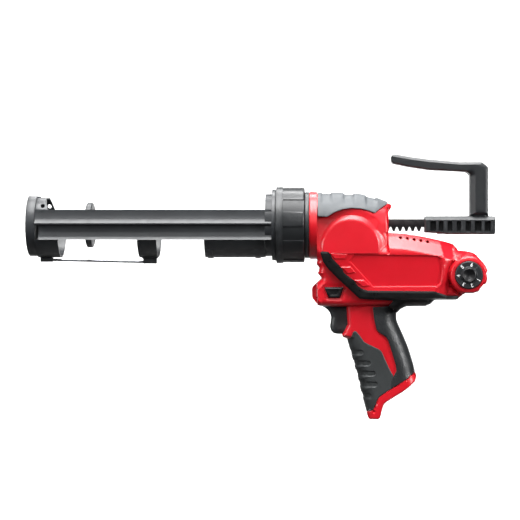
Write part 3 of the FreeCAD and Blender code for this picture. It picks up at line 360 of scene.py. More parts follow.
# ---- materials
def srgb(r, g, b):
    def lin(c):
        c /= 255.0
        return c / 12.92 if c <= 0.04045 else ((c + 0.055) / 1.055) ** 2.4
    return (lin(r), lin(g), lin(b), 1.0)


class Tree:
    """Short ways to add the nodes that the finishes use."""

    def __init__(self, mat):
        self.nodes, self.links = mat.node_tree.nodes, mat.node_tree.links
        self.where = self.nodes.new("ShaderNodeTexCoord").outputs["Object"]

    def noise(self, scale, detail, roughness=0.55):
        n = self.nodes.new("ShaderNodeTexNoise")
        n.inputs["Scale"].default_value = scale
        n.inputs["Detail"].default_value = detail
        n.inputs["Roughness"].default_value = roughness
        self.links.new(self.where, n.inputs["Vector"])
        return n.outputs["Fac"]

    def cells(self, size):
        n = self.nodes.new("ShaderNodeTexVoronoi")
        n.inputs["Scale"].default_value = 1.0 / size
        n.feature = "SMOOTH_F1"
        self.links.new(self.where, n.inputs["Vector"])
        return n.outputs["Distance"]

    def spanned(self, value, low, high, to_low, to_high):
        n = self.nodes.new("ShaderNodeMapRange")
        n.inputs["From Min"].default_value = low
        n.inputs["From Max"].default_value = high
        n.inputs["To Min"].default_value = to_low
        n.inputs["To Max"].default_value = to_high
        self.links.new(value, n.inputs["Value"])
        return n.outputs["Result"]

    def feed(self, socket, value):
        """Set a socket to a constant, or link it to another socket."""
        if isinstance(value, (float, tuple)):
            socket.default_value = value
        else:
            self.links.new(value, socket)

    def mixed(self, fac, first, second):
        n = self.nodes.new("ShaderNodeMix")
        n.data_type = "RGBA"
        self.links.new(fac, n.inputs["Factor"])
        self.feed(n.inputs["A"], first)
        self.feed(n.inputs["B"], second)
        return n.outputs["Result"]

    def maths(self, operation, first, second):
        n = self.nodes.new("ShaderNodeMath")
        n.operation = operation
        self.feed(n.inputs[0], first)
        self.feed(n.inputs[1], second)
        return n.outputs[0]


def finish(name, base, shade, worn, rough, spread, grain, bump, wear, metallic=0.0, coat=0.0,
           coat_rough=0.1, pores=None):
    """Surface with uneven colour and gloss, fine grain and rubbed edges.

    base, shade and worn are 0-255 colours; grain and pores are sizes in metres; bump is a height in metres.
    """
    mat = bpy.data.materials.new(name)
    mat.use_nodes = True
    tree = Tree(mat)
    shader = mat.node_tree.nodes["Principled BSDF"].inputs
    shader["Metallic"].default_value = metallic
    shader["Coat Weight"].default_value = coat
    shader["Coat Roughness"].default_value = coat_rough
    blotch = tree.noise(22.0, 3.0)
    smudge = tree.noise(130.0, 4.0, 0.65)
    fine = tree.noise(1.0 / grain, 2.0)

    colour = tree.mixed(tree.spanned(blotch, 0.35, 0.65, 0.0, 1.0), srgb(*base), srgb(*shade))
    colour = tree.mixed(tree.spanned(fine, 0.3, 0.7, 0.0, 0.35), colour, srgb(*shade))
    pointed = tree.nodes.new("ShaderNodeNewGeometry").outputs["Pointiness"]
    rubbed = tree.spanned(pointed, 0.52, 0.60, 0.0, wear)
    rubbed = tree.maths("MULTIPLY", rubbed, tree.spanned(smudge, 0.38, 0.62, 0.25, 1.0))
    tree.feed(shader["Base Color"], tree.mixed(rubbed, colour, srgb(*worn)))

    gloss = tree.spanned(smudge, 0.3, 0.7, rough - spread, rough + spread)
    gloss = tree.maths("ADD", gloss, tree.spanned(fine, 0.3, 0.7, -spread * 0.5, spread * 0.5))
    tree.feed(shader["Roughness"], gloss)

    height = fine
    if pores:
        pitted = tree.maths("MULTIPLY", tree.cells(pores), 1.6)
        height = tree.maths("ADD", pitted, tree.maths("MULTIPLY", fine, 0.5))
    relief = tree.nodes.new("ShaderNodeBump")
    relief.inputs["Strength"].default_value = 1.0
    relief.inputs["Distance"].default_value = bump
    tree.feed(relief.inputs["Height"], height)
    tree.feed(shader["Normal"], relief.outputs["Normal"])
    return mat


RED = finish("red_shell", (208, 22, 38), (196, 16, 30), (236, 84, 92), 0.34, 0.05, 0.0005, 0.000012, 0.35,
             coat=0.15, coat_rough=0.25)
GREY_RUBBER = finish("grey_pad", (86, 90, 93), (75, 79, 82), (126, 130, 133), 0.55, 0.06, 0.0005, 0.00003,
                     0.4)
RUBBER = finish("rubber_cover", (52, 55, 56), (43, 46, 47), (92, 96, 98), 0.52, 0.07, 0.0006, 0.00003, 0.45)
PALM_RUBBER = finish("palm_rubber", (42, 44, 46), (33, 35, 37), (96, 100, 102), 0.38, 0.07, 0.0006, 0.00014,
                     0.35, pores=0.0012)
BELT_RUBBER = finish("belt_rubber", (9, 9, 10), (6, 6, 7), (40, 42, 44), 0.32, 0.06, 0.0005, 0.00002, 0.3)
NYLON = finish("black_nylon", (40, 42, 44), (32, 34, 36), (96, 99, 102), 0.40, 0.07, 0.0004, 0.00002, 0.5)
DARK_NYLON = finish("dark_nylon", (18, 18, 20), (13, 13, 15), (72, 75, 78), 0.34, 0.07, 0.0004, 0.00002, 0.5)
TRIGGER_NYLON = finish("trigger_nylon", (62, 64, 66), (54, 56, 58), (100, 103, 106), 0.38, 0.07, 0.0004,
                       0.00002, 0.4)
GREY_NYLON = finish("grey_nylon", (22, 22, 25), (16, 16, 18), (90, 92, 96), 0.34, 0.06, 0.0004, 0.00002, 0.4)
PAINT = finish("black_powder_coat", (44, 47, 50), (37, 39, 42), (110, 114, 118), 0.40, 0.07, 0.0007,
               0.00002, 0.2)
BLACK_OXIDE = finish("black_oxide", (36, 36, 38), (26, 26, 28), (120, 120, 122), 0.38, 0.08, 0.0004,
                     0.00002, 0.6, metallic=0.5)
BRIGHT = finish("bright_steel", (178, 180, 184), (150, 152, 156), (220, 222, 226), 0.28, 0.08, 0.0003,
                0.00001, 0.5, metallic=1.0)
ZINC = finish("zinc_plate", (168, 172, 178), (140, 146, 154), (210, 212, 216), 0.36, 0.08, 0.0005, 0.00001,
              0.5, metallic=1.0)
CAST = finish("die_cast", (150, 152, 154), (128, 130, 132), (200, 202, 204), 0.48, 0.08, 0.0008, 0.00005,
              0.5, metallic=0.9)
BRONZE = finish("bronze", (170, 120, 70), (146, 98, 56), (210, 168, 112), 0.36, 0.08, 0.0005, 0.00002, 0.5,
                metallic=1.0)
BOARD = finish("circuit_board", (24, 84, 48), (18, 66, 38), (80, 120, 84), 0.42, 0.06, 0.0006, 0.00002, 0.3)
LEAD = finish("lead_insulation", (158, 32, 28), (132, 24, 22), (200, 90, 84), 0.45, 0.06, 0.0006, 0.00002,
              0.3)
WHITE_INK = finish("white_ink", (235, 236, 238), (220, 222, 224), (250, 250, 250), 0.45, 0.06, 0.0004,
                   0.00001, 0.2)
PALE_FLOOR = finish("pale_floor", (250, 250, 250), (246, 246, 246), (252, 252, 252), 0.7, 0.05, 0.01,
                    0.00005, 0.0)

SLOT_MATERIAL = {
    "red_housing": RED, "grey_rubber": GREY_RUBBER, "black_rubber": RUBBER, "black_plastic": NYLON,
    "grey_plastic": GREY_NYLON, "black_paint": PAINT, "black_steel": BLACK_OXIDE, "bright_steel": BRIGHT,
    "zinc_steel": ZINC, "die_cast": CAST, "bronze": BRONZE, "circuit_board": BOARD, "lead_insulation": LEAD}

# ---- outlines of the body
BARREL_LINE = [
    (-70.5, 158.2), (-62.8, 158.2), (-62.5, 155.6), (-36.0, 154.9), (-27.0, 154.2), (-14.0, 152.0),
    (-5.0, 150.0), (6.0, 147.0), (7.3, 147.1), (11.3, 145.7), (11.5, 142.8), (8.4, 138.2)]
MOTOR_TOP = [(8.2, 117.4), (23.0, 116.6), (38.3, 114.3), (53.6, 111.2), (65.0, 108.5), (72.7, 106.3)]
MOTOR_REAR = [
    (76.5, 102.0), (78.0, 99.7), (84.2, 99.4), (91.8, 97.8), (95.7, 95.2), (98.7, 91.3), (104.0, 85.2),
    (106.4, 79.8), (104.8, 77.6), (106.0, 71.4), (104.8, 67.2), (101.8, 66.1), (98.7, 62.2), (97.2, 59.2),
    (91.8, 57.7), (84.2, 57.7), (80.4, 54.2), (78.8, 52.8), (75.0, 51.6), (53.0, 51.6), (48.5, 47.9),
    (44.0, 45.8)]
PALM_LINE = [(14.8, 33.0), (17.5, 24.2), (21.8, 14.7), (26.1, 4.4), (29.5, -5.9), (32.1, -14.5)]
FOOT_LINE = [
    (36.1, -26.1), (34.4, -30.4), (27.5, -36.4), (21.5, -40.7), (6.0, -50.2), (3.4, -52.8), (1.7, -58.0),
    (-0.1, -65.7), (-2.2, -67.4), (-10.4, -67.4), (-12.1, -65.7)]
FINGER_LINE = [
    (-12.4, -59.8), (-15.9, -45.4), (-18.5, -36.0), (-20.2, -27.4), (-23.6, -16.1), (-27.1, -4.0),
    (-31.4, 10.6), (-37.2, 13.6), (-38.2, 16.2), (-36.5, 18.3), (-32.5, 26.3), (-33.2, 37.7)]
NOSE_LINE = [
    (-36.5, 44.2), (-58.6, 44.7), (-62.0, 45.4), (-67.7, 52.4), (-68.0, 61.1), (-67.3, 63.8), (-58.6, 71.8),
    (-59.0, 73.5), (-62.3, 77.2), (-61.2, 79.4), (-60.6, 82.8), (-63.6, 86.6), (-62.6, 90.2)]
SHELL = rounded(
    BARREL_LINE + MOTOR_TOP + MOTOR_REAR + [(30.0, 45.8), (25.0, 45.6), (19.0, 42.6), (15.6, 38.5)]
    + PALM_LINE + [(33.3, -20.6), (35.4, -21.8)] + FOOT_LINE + [(-13.6, -60.8)] + FINGER_LINE + NOSE_LINE
    + [(-63.4, 91.3), (-70.5, 91.3)], 1.3)

# The gear and motor part alone, and the grip carried on past both of its ends.
BODY = [(-80.0, 200.0), (8.2, 200.0)] + MOTOR_TOP + MOTOR_REAR + NOSE_LINE + [(-80.0, 92.0)]
GRIP_FRONT = [(-36.5, 70.0)] + FINGER_LINE[::-1] + [(-9.0, -80.0)]
GRIP_BACK = [(42.0, -80.0), (42.0, -45.0), (36.0, -27.0), (33.3, -19.5)] + PALM_LINE[::-1] + [(14.8, 70.0)]
GRIP_CORE = GRIP_FRONT + GRIP_BACK
FOOT_TOP = [(-13.6, -60.4), (-6.8, -59.1), (-5.5, -54.8), (-3.4, -48.8), (-0.4, -44.6), (9.9, -37.7),
            (22.7, -30.1), (26.9, -27.0), (35.4, -21.6)]
FOOT = FOOT_TOP[-1:] + FOOT_LINE + FOOT_TOP[:-1]
FOOT_FRONT = [(-13.0, -60.0), (-12.1, -65.7)]

# Things on the shells' sides.
WIDEST_Z = 97.0          # height where the gear part is widest
MOTOR_START = 8.1        # front of the motor part along X
BAND_RADIUS = 33.2       # round band at the barrel's end
BAND_FRONT = -70.5
BAND_BACK = -62.7
BOSS = (-29.3, 103.4)    # centre of the round gear cover
PANEL = [(-26.3, 95.8), (55.9, 94.8), (59.3, 92.0), (60.7, 82.6), (59.3, 68.4), (55.0, 64.6), (-7.4, 64.4),
         (-30.0, 89.3)]
FINS = [[(-49.6, 97.0), (-32.6, 96.6), (-35.0, 91.8), (-44.8, 91.8)],
        [(-39.1, 83.7), (-29.3, 83.7), (-24.8, 78.5), (-32.3, 77.3)],
        [(-26.3, 70.9), (-16.5, 70.5), (-10.5, 65.6), (-17.2, 64.1)]]
REAR_LEFT = [(57.6, 60.9), (62.5, 76.0), (63.5, 90.0), (60.2, 104.0)]
REAR_RIGHT = [(65.5, 55.0), (71.8, 76.0), (73.6, 90.0), (70.4, 106.0)]
BUTTON = [(-55.1, 63.4), (-37.0, 63.4), (-40.6, 53.5), (-50.9, 53.5)]
BUTTON_HOLE = [(-55.8, 63.8), (-36.3, 63.8), (-40.2, 53.0), (-51.3, 53.0)]
BELT_LINE = [(-58.5, 94.0), (-53.5, 88.5), (-34.5, 66.5), (-23.5, 57.5), (-10.0, 56.0), (60.0, 55.0)]
RIDGE = [(-54.9, 68.6), (-62.0, 61.4), (-63.6, 53.6), (-58.6, 47.9)]
VENTS = [(19.6, 112.6), (26.3, 111.9), (33.0, 110.8), (39.6, 109.8), (46.2, 108.6)]
VENT_DEPTH = 5.5
SCREWS = [(-54.0, 148.0), (2.0, 142.0), (-58.5, 56.0), (41.0, 106.0), (70.0, 60.0), (78.0, 94.0),
          (22.0, 49.6), (-10.2, -59.0)]
SCREW_RECESS = 3.3       # radius of the holes over the screws' heads
SCREW_POST = 4.6         # radius of the solid round a screw
SCREW_SEAT = 13.6        # half width at a screw's head
DIAL = (87.3, 75.8)      # centre of the speed dial
DIAL_ROOM = 14.1         # radius of the hole round the dial
DIAL_SEAT = 21.4         # half width behind the dial
DIAL_GROOVE = 20.6       # radius of the groove round the dial's boss
GROOVE_SIZE = 2.6        # depth of that groove, and half its width
BREAK_Z = 96.9           # height of the gear cover's lower break
BREAK_WIDE = 0.6
SLOPE = 0.9              # width of the slopes round the panel and the fins

# Rooms inside the shells.
WALL = 2.6
SOCKET = [(-24.5, 8.0), (13.0, 8.0), (38.0, -60.0), (-2.0, -74.0)]
TRIGGER_WAY = [(-60.0, 15.7), (-15.0, 15.7), (-15.0, 44.5), (-60.0, 44.5)]
SHUT = 0.03              # half width of a room that is closed

PAD = rounded([
    (-61.9, 133.5), (-62.0, 157.5), (-58.5, 157.8), (-57.6, 156.6), (-49.6, 156.4), (-48.2, 157.7),
    (-36.7, 157.5), (-35.6, 155.8), (-27.2, 155.4), (-25.6, 157.0), (-15.0, 155.4), (-13.4, 153.5),
    (-5.0, 151.5), (-3.6, 152.6), (7.3, 148.5), (6.8, 146.0), (2.0, 142.9), (-2.6, 139.5), (-5.9, 137.0),
    (-12.0, 139.5), (-20.0, 141.3), (-28.7, 141.8), (-38.0, 140.4), (-46.0, 137.2), (-52.6, 133.0)], 0.8)
PAD_LOW = PAD[PAD[:, 1] < 147.0]
PAD_LOW = PAD_LOW[np.argsort(PAD_LOW[:, 0])]

# Profiles: pairs of a place and the value there.
CREST = [(-70.5, 32.4), (-62.0, 32.4), (-36.0, 32.3), (-27.0, 31.6), (-15.0, 30.4), (-5.0, 27.9),
         (7.3, 23.6), (12.0, 21.6)]
PAD_TOP = [(-62.0, 32.6), (-58.5, 32.8), (-57.6, 31.6), (-49.6, 31.4), (-48.2, 32.7), (-36.7, 32.5),
           (-35.6, 30.8), (-27.2, 30.4), (-25.6, 32.0), (-15.0, 30.4), (-13.4, 28.5), (-5.0, 26.5),
           (-3.6, 27.6), (7.3, 23.5)]
MOTOR_LEAN = [(0.0, 12.4), (1.2, 14.6), (5.0, 18.9), (6.0, 19.6), (13.6, 25.4), (15.2, 27.0),
              (40.0, 60.0)]
COVER_STEPS = [(0.0, 0.0), (27.0, 0.0), (27.6, -0.3), (31.6, -3.6), (33.0, -4.4), (36.5, -10.0),
               (37.0, -80.0)]
DIAL_BOSS = [(0.0, 24.6), (16.6, 24.6), (17.4, 24.2), (19.6, 21.6)]


def profile(x, points):
    return np.interp(x, *zip(*points))


def vent(place):
    x, z = place
    return [(x - 1.9, z + 0.4), (x + 0.2, z - 1.6), (x + 1.9, z - 1.3), (x + 2.1, z + 1.2),
            (x - 0.6, z + 1.3)]


def tube(p, radius):
    """Half width of a cylinder about the push rod's axis."""
    return np.sqrt(np.maximum(radius ** 2 - (p[:, 1] - ROD) ** 2, 0.0))


def raised(p, outline, height):
    """Height of a flat with narrow slopes round it."""
    return height * ease((depth_in(p, outline) + SLOPE / 2) / SLOPE)


# ---- red shells
def grip_face(p):
    """Half width of the grip, nearly round at the palm and square at the trigger."""
    square = ease((p[:, 1] - 10.0) / 7.0)
    front = edge_drop(distance(p, GRIP_FRONT, False), 11.0 - 6.5 * square, 15.4 - 9.6 * square)
    back = edge_drop(distance(p, GRIP_BACK, False), 14.5, 15.6)
    return 16.8 - front - back


def foot_face(p):
    """Half width of the foot under the grip."""
    h = 18.0 - edge_drop(distance(p, GRIP_BACK, False) + 1.0, 13.0, 14.0)
    h -= edge_drop(distance(p, FOOT_FRONT, False), 5.0, 5.0)
    h -= edge_drop(distance(p, FOOT_LINE[1:], False), 1.6, 1.6)
    return np.maximum(h, 2.0)


def rear_channel(p):
    """Depth of the hollow between the panel and the dial's end."""
    rear = np.maximum(right_of(p, REAR_LEFT), 0)
    front = np.maximum(-right_of(p, REAR_RIGHT), 0)
    across = np.clip(rear / np.maximum(rear + front, 1e-6), 0, 1)
    return (5.2 + np.minimum(0.011 * (p[:, 1] - 83.0) ** 2, 3.2)) * across


def body_rim(p, low_nose):
    """How far the gear and motor part's outline is rounded off."""
    rear = p[:, 0] > 66.0
    radius = np.where(rear, 5.5, np.where(low_nose > 0.5, 6.5, 5.5))
    drop = np.where(rear, 6.5, np.where(low_nose > 0.5, 9.0, 7.0))
    return edge_drop(depth_in(p, BODY), radius, drop)


def main_face(p):
    """Half width of the gear and motor part, which leans in above and below its widest line."""
    x, z = p.T
    low_nose = ease((right_of(p, BELT_LINE) + 2.0) / 4.0)
    wide = 27.4 - 0.076 * np.clip(z - WIDEST_Z, 0.0, 34.0) - 0.07 * np.clip(WIDEST_Z - z, 0.0, 32.0)
    wide = wide * (1 - low_nose) + 23.6 * low_nose
    shell_r = profile(x, CREST) - 1.7
    cap = np.minimum(wide, np.where(z > ROD, tube(p, shell_r), shell_r))
    h = np.where(x < MOTOR_START, wide + (cap - wide) * ease((z - WIDEST_Z) / 9.0), wide)
    h -= np.where((x < MOTOR_START + 0.2) & (z > WIDEST_Z), edge_drop(MOTOR_START + 0.15 - x, 3.0, 2.6), 0.0)
    top = profile(distance(p, MOTOR_TOP, False), MOTOR_LEAN)
    h = np.where((x > MOTOR_START) & (z > 86.0), np.minimum(h, top), h)
    h -= np.where(x > 50.0, rear_channel(p), 0.0)
    past_panel = -depth_in(p, PANEL)
    h += np.where((x > 54.0) & (z < 95.0), 0.7 * ease(1 - np.abs(past_panel - 1.7) / 1.5), 0.0)
    motor_top = (x > MOTOR_START) & (z > 100.0) & (x < 74.0)
    h -= np.where(motor_top | (z > 118.0), 0.0, body_rim(p, low_nose))
    return np.where(depth_in(p, BODY) > -0.01, h, NOTHING)


def gear_cover(p):
    """Half width of the round cover, which steps down at its edge and breaks off below."""
    x, z = p.T
    h = profile(radius_from(p, BOSS), COVER_STEPS) + 28.4
    h -= 5.0 * np.clip((BREAK_Z + BREAK_WIDE / 2 - z) / BREAK_WIDE, 0.0, 1.0)
    return np.where((z > 96.5) & (x > -62.6), h, NOTHING)


def barrel_band(p):
    """Half width of the round band in front, where the carriage's barrel ends."""
    band = tube(p, BAND_RADIUS) - edge_drop(p[:, 0] - BAND_FRONT, 1.2, 1.2)
    return np.where(np.abs(p[:, 1] - ROD) < BAND_RADIUS, band, 0.0)


def dial_boss(p):
    """Half width of the round boss that the dial is sunk in."""
    r, d = radius_from(p, DIAL), depth_in(p, BODY)
    return np.where((r < 19.6) & (d > 0), profile(r, DIAL_BOSS) - edge_drop(d, 2.5, 3.0), NOTHING)


def shell_face(p, left=True):
    """Half width of the red shell."""
    x, z = p.T
    h = np.maximum(main_face(p), gear_cover(p))
    h = np.where(x < BAND_BACK, barrel_band(p), h)
    h = np.maximum(h, dial_boss(p))
    knob_r = radius_from(p, DIAL)
    groove = GROOVE_SIZE * ease(1 - np.abs(knob_r - DIAL_GROOVE) / GROOVE_SIZE)
    h -= np.where((x < 76.0) & (z < 90.0), groove, 0.0)
    h = np.maximum(h, np.where((z < 52.0) & inside(p, GRIP_CORE), grip_face(p), NOTHING))
    h = np.where(inside(p, FOOT), foot_face(p), h)
    h -= raised(p, PANEL, 1.2)
    for fin in FINS:
        h += raised(p, fin, 0.95)
    h -= np.where(z > 130.0, 0.9 * ease((0.85 - distance(p, PAD_LOW, False)) / 0.5), 0.0)
    h -= 0.9 * ease(depth_in(p, BUTTON_HOLE) + 2.6)
    h += np.where(x < -40.0, 0.7 * ease(1 - distance(p, RIDGE, False) / 2.2), 0.0)
    for spot in VENTS:
        h = np.where(depth_in(p, vent(spot)) > 0.06, h - VENT_DEPTH, h)
    if left:
        h = np.where(knob_r < DIAL_ROOM, DIAL_SEAT, h)
    else:
        for spot in SCREWS:
            h = np.where(radius_from(p, spot) < SCREW_RECESS, np.minimum(h, SCREW_SEAT), h)
    return np.maximum(h, 0.35)


def shell_room(p, left=True):
    """Half width of the space inside the shells."""
    x, z = p.T
    h = shell_face(p, left)
    room = np.where(distance(p, SHELL) < 2.5, SHUT, np.maximum(h - WALL, SHUT))
    for spot in SCREWS:
        room = np.where(radius_from(p, spot) < SCREW_POST, SHUT, room)
    rack_way = (z > 117.6) & (z < 131.8) & (x < 20.0)
    handle_way = (z > 115.2) & (z < 145.2) & (x > 7.9) & (x < 60.0)
    trigger_way = inside(p, TRIGGER_WAY) & (x < -15.0)
    for way, half in ((rack_way, 5.5), (handle_way, 12.9), (trigger_way, 7.8), (inside(p, SOCKET), 13.2)):
        room = np.where(way, np.maximum(room, half), room)
    return np.minimum(room, np.maximum(h - 0.6, 0.02))


def shell_slopes():
    """Narrow slopes in the shell's face."""
    slopes = [(outline, True, SLOPE) for outline in [PANEL] + FINS]
    slopes.append((shifted(PAD_LOW, -0.6, False), False, 0.5))
    slopes.append(([(-60.5, BREAK_Z), (4.5, BREAK_Z)], False, BREAK_WIDE))
    return slopes


def shell_folds(left):
    """Lines where the shell's face turns or steps."""
    lines = [arc(BOSS, 27.4, -8, 188, 60)]
    lines += [arc(BOSS, radius, -8, 166, 70) for radius in (31.6, 32.6, 33.4, 34.2, 35.0)]
    lines += [[(8.05, 117.0), (8.05, 98.5)], [(8.2, 116.9), (8.2, 98.5)], REAR_LEFT, REAR_RIGHT]
    lines += [[(-62.75, 157.5), (-62.75, 92.0)], [(-62.6, 155.0), (-62.6, 92.0)], FOOT_TOP]
    lines += [shifted(np.array(MOTOR_TOP), -depth, False) for depth in (5.4, 14.4)]
    if left:
        loops = [ring(DIAL, radius) for radius in (DIAL_ROOM - 0.05, DIAL_ROOM + 0.05, 17.0)]
    else:
        loops = [ring(spot, SCREW_RECESS + d, 24) for spot in SCREWS for d in (-0.05, 0.05)]
    loops += [shifted(as_loop(vent(spot)), d) for spot in VENTS for d in (0.0, 0.12)]
    return [(line, False) for line in lines] + [(loop, True) for loop in loops]


def shell(side, left):
    half = slab("shell_" + side, SHELL, lambda p: shell_face(p, left), lambda p: shell_room(p, left), RED,
                "housing", holes=[BUTTON_HOLE], steps=shell_slopes(), lines=shell_folds(left),
                mirror=not left, angle=32.0)
    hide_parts("housing_" + side)


# ---- top pad
def pad_face(p):
    """Half width of the pad: round the barrel, with raised lands on its top."""
    x, z = p.T
    up = np.maximum(z - ROD, 0.0)
    land = profile(x, PAD_TOP)
    mean = profile(x, CREST) - 0.1
    lean = ease((np.degrees(np.arctan2(up, np.maximum(tube(p, mean), 0.5))) - 38.0) / 14.0)
    radius = mean + (land - mean) * lean
    h = np.sqrt(np.maximum(radius ** 2 - up ** 2, 0.0))
    return np.maximum(h - edge_drop(distance(p, PAD_LOW, False), 0.9, 0.8), 0.3)


def under_pad(p):
    room = np.minimum(shell_face(p) - 0.4, pad_face(p) - 0.5)
    return np.where(inside(p, SHELL), np.maximum(room, SHUT), SHUT)


def top_pad(side, left):
    pad = slab("top_pad_" + side, PAD, pad_face, under_pad, GREY_RUBBER, "housing", mirror=not left)
    if left:
        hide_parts("top_pad")


# ---- belt and underside
UNDERSIDE = [(54.0, 50.6), (50.2, 46.8), (45.0, 44.5), (26.0, 44.3), (20.3, 41.6), (16.8, 37.9)]
BELT = rounded([
    (-59.5, 98.2), (-57.8, 99.2), (-51.6, 98.8), (-48.9, 95.5), (-47.3, 92.0), (-38.4, 83.0), (-36.0, 78.2),
    (-26.3, 70.6), (-22.6, 65.6), (-17.3, 62.0), (-12.6, 60.5), (53.3, 59.9), (61.5, 56.9), (66.0, 55.1),
    (77.4, 54.9), (77.2, 53.2), (75.4, 50.8)] + UNDERSIDE + [
    (8.0, 45.0), (12.8, 50.6), (-20.7, 52.6), (-29.4, 60.5), (-40.7, 71.0), (-51.9, 82.3), (-56.8, 89.1)],
    0.9)
BELT_BEVEL = 1.7         # width of the bevel round the belt


def belt_face(p):
    """Half width of the belt, which curves in under the motor and thins towards its rear tip."""
    x, z = p.T
    h = 28.9 - 0.45 * np.clip(1 - depth_in(p, BELT) / BELT_BEVEL, 0, 1)
    hull = 26.6 - edge_drop(distance(p, [(76.2, 50.8)] + UNDERSIDE, False), 8.0, 15.0)
    hull = np.minimum(hull, 19.0 + 1.15 * np.maximum(z - 38.0, 0))
    low = ease((53.4 - z) / 2.2) * (x > -6.0)
    h -= 4.4 * ease((x - 50.0) / 24.0)
    return np.maximum(h * (1 - low) + np.minimum(h, hull) * low, 1.0)


def under_belt(p):
    h = np.where(inside(p, SHELL), shell_face(p) - 0.5, SHUT)
    return np.minimum(h, belt_face(p) - 0.4)


def belt_cover(side, left):
    folds = [(shifted(as_loop(BELT), BELT_BEVEL), True), ([(-5.0, 52.3), (74.0, 51.9)], False),
             ([(8.0, 53.4), (70.0, 53.4)], False)]
    belt = slab("belt_cover_" + side, BELT, belt_face, under_belt, BELT_RUBBER, "housing", lines=folds,
                rings=(0.4, 0.9, 1.7, 2.6, 3.8), mirror=not left, angle=28.0)
    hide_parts("belt_" + side)


# ---- rubber on the grip
RIBS = [((-26.6, -1.2), (-19.2, -1.2)), ((-23.6, -12.0), (-12.2, -12.0)), ((-20.4, -22.0), (-7.2, -22.0)),
        ((-18.4, -32.8), (-5.4, -32.8)), ((-15.6, -44.2), (-11.6, -44.2))]
FRONT_LINE = [
    (-33.0, 11.2), (-30.4, 2.6), (-28.5, -3.7), (-26.8, -9.2), (-25.0, -15.8), (-23.2, -21.8), (-21.6, -27.0),
    (-19.9, -35.6), (-18.9, -39.8), (-17.3, -45.0), (-15.6, -52.4), (-13.8, -59.7), (-13.5, -60.6)]


def ribbed_edge():
    """Front edge of the grip with a shallow notch at each groove."""
    xs, zs = np.array(FRONT_LINE).T
    out = FRONT_LINE[:2]
    for (_, z), _ in RIBS:
        for dz, push in ((3.1, 0.35), (2.3, -0.3), (-2.3, -0.3), (-3.1, 0.35)):
            out.append((float(np.interp(-(z + dz), -zs, xs)) - push, z + dz))
    return out + FRONT_LINE[-2:]


FRONT_EDGE = ribbed_edge()
FRONT_SKIN = FRONT_EDGE + [
    (-6.8, -59.3), (-5.5, -54.8), (-3.4, -48.8), (-0.4, -44.6), (10.1, -37.6), (10.3, -30.0), (13.2, -24.4),
    (9.8, -18.7), (4.6, -7.6), (1.3, 0.1), (-2.2, 2.7), (-11.6, 6.9), (-15.9, 9.4), (-20.1, 15.4),
    (-24.0, 20.0), (-26.6, 20.0), (-29.6, 13.2)]
BACK_EDGE = [(35.0, -20.9), (33.5, -14.0), (30.9, -5.4), (27.5, 4.9), (23.2, 15.2), (18.9, 24.7),
             (16.7, 29.9), (16.3, 33.3), (16.7, 37.6)]
BACK_SKIN = BACK_EDGE + [
    (7.9, 44.8), (-7.6, 43.8), (-6.3, 32.5), (-3.7, 21.4), (-2.0, 19.2), (5.7, 14.2), (8.2, 9.4),
    (11.7, -1.7), (15.5, -14.5), (15.9, -19.5), (13.3, -24.4), (10.3, -30.0), (10.1, -37.5), (22.7, -30.1),
    (26.9, -27.0), (34.6, -21.2)]
SKIN_JOINT = [(13.2, -24.4), (10.3, -30.0), (10.1, -37.6)]
GROOVE_RADIUS = 2.5      # of the grooves between the ribs
SKIN_RINGS = (0.15, 0.4, 0.8, 1.4, 2.2, 3.3, 4.7, 6.4, 8.4)


def skin_face(p, outline, edge_line, ribbed):
    """Half width of the rubber: round at its free edge, a little proud of the grip elsewhere."""
    core = np.where(inside(p, SHELL), grip_face(p), 0.0)
    d = distance(p, edge_line, False)
    full = 18.3 - edge_drop(d, 12.0 if ribbed else 15.5, 17.6)
    other = distance(p, GRIP_BACK if ribbed else GRIP_FRONT, False)
    full -= edge_drop(other + 1.2, 13.0, 16.0) * 0.98
    h = np.maximum(full, core + 0.5)
    joined = (d < 2.0) | (distance(p, SKIN_JOINT, False) < 1.2)
    rim = np.where(joined, 9.0, distance(p, outline))
    h -= np.where(d > 1.2, edge_drop(rim, 0.9, 0.7), 0.0)
    if ribbed:
        for rib in RIBS:
            h -= 0.8 * ease((2.9 - distance(p, rib, False)) / 0.8)
    return np.maximum(h, 0.4)


def under_skin(p, face):
    """Half width of the rubber's inside, where its outside is `face`."""
    core = np.where(inside(p, SHELL), shell_face(p) - 0.5, SHUT)
    return np.maximum(np.minimum(core, face - 0.4), 0.02)


def groove_slopes(shape):
    """Slopes round each groove, as far as they are clear of the rubber's own edge."""
    slopes = []
    for (x, z), end in RIBS:
        tip = arc(end, GROOVE_RADIUS, 90, -90, 9)
        points = stepped([(x - 4.0, z + GROOVE_RADIUS), *tip, (x - 4.0, z - GROOVE_RADIUS)], 0.8, False)
        points = points[inside(points, shape) & (distance(points, shape) > 1.0)]
        if len(points) > 3:
            slopes.append((points, False, 0.8))
    return slopes


def grip_skin(name, left, outline, edge_line, ribbed, material):
    shape = rounded(outline, 1.0)

    def face(p):
        return skin_face(p, shape, edge_line, ribbed)

    skin = slab(name, shape, face, lambda p: under_skin(p, face(p)), material, "housing", grid=1.2,
                steps=groove_slopes(shape) if ribbed else (), rings=SKIN_RINGS, mirror=not left)
    return skin


def grip_rubber(side, left):
    skin = grip_skin("grip_front_" + side, left, FRONT_SKIN, FRONT_EDGE, True, RUBBER)
    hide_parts("grip_skin_" + side)
    grip_skin("grip_back_" + side, left, BACK_SKIN, BACK_EDGE, False, PALM_RUBBER)


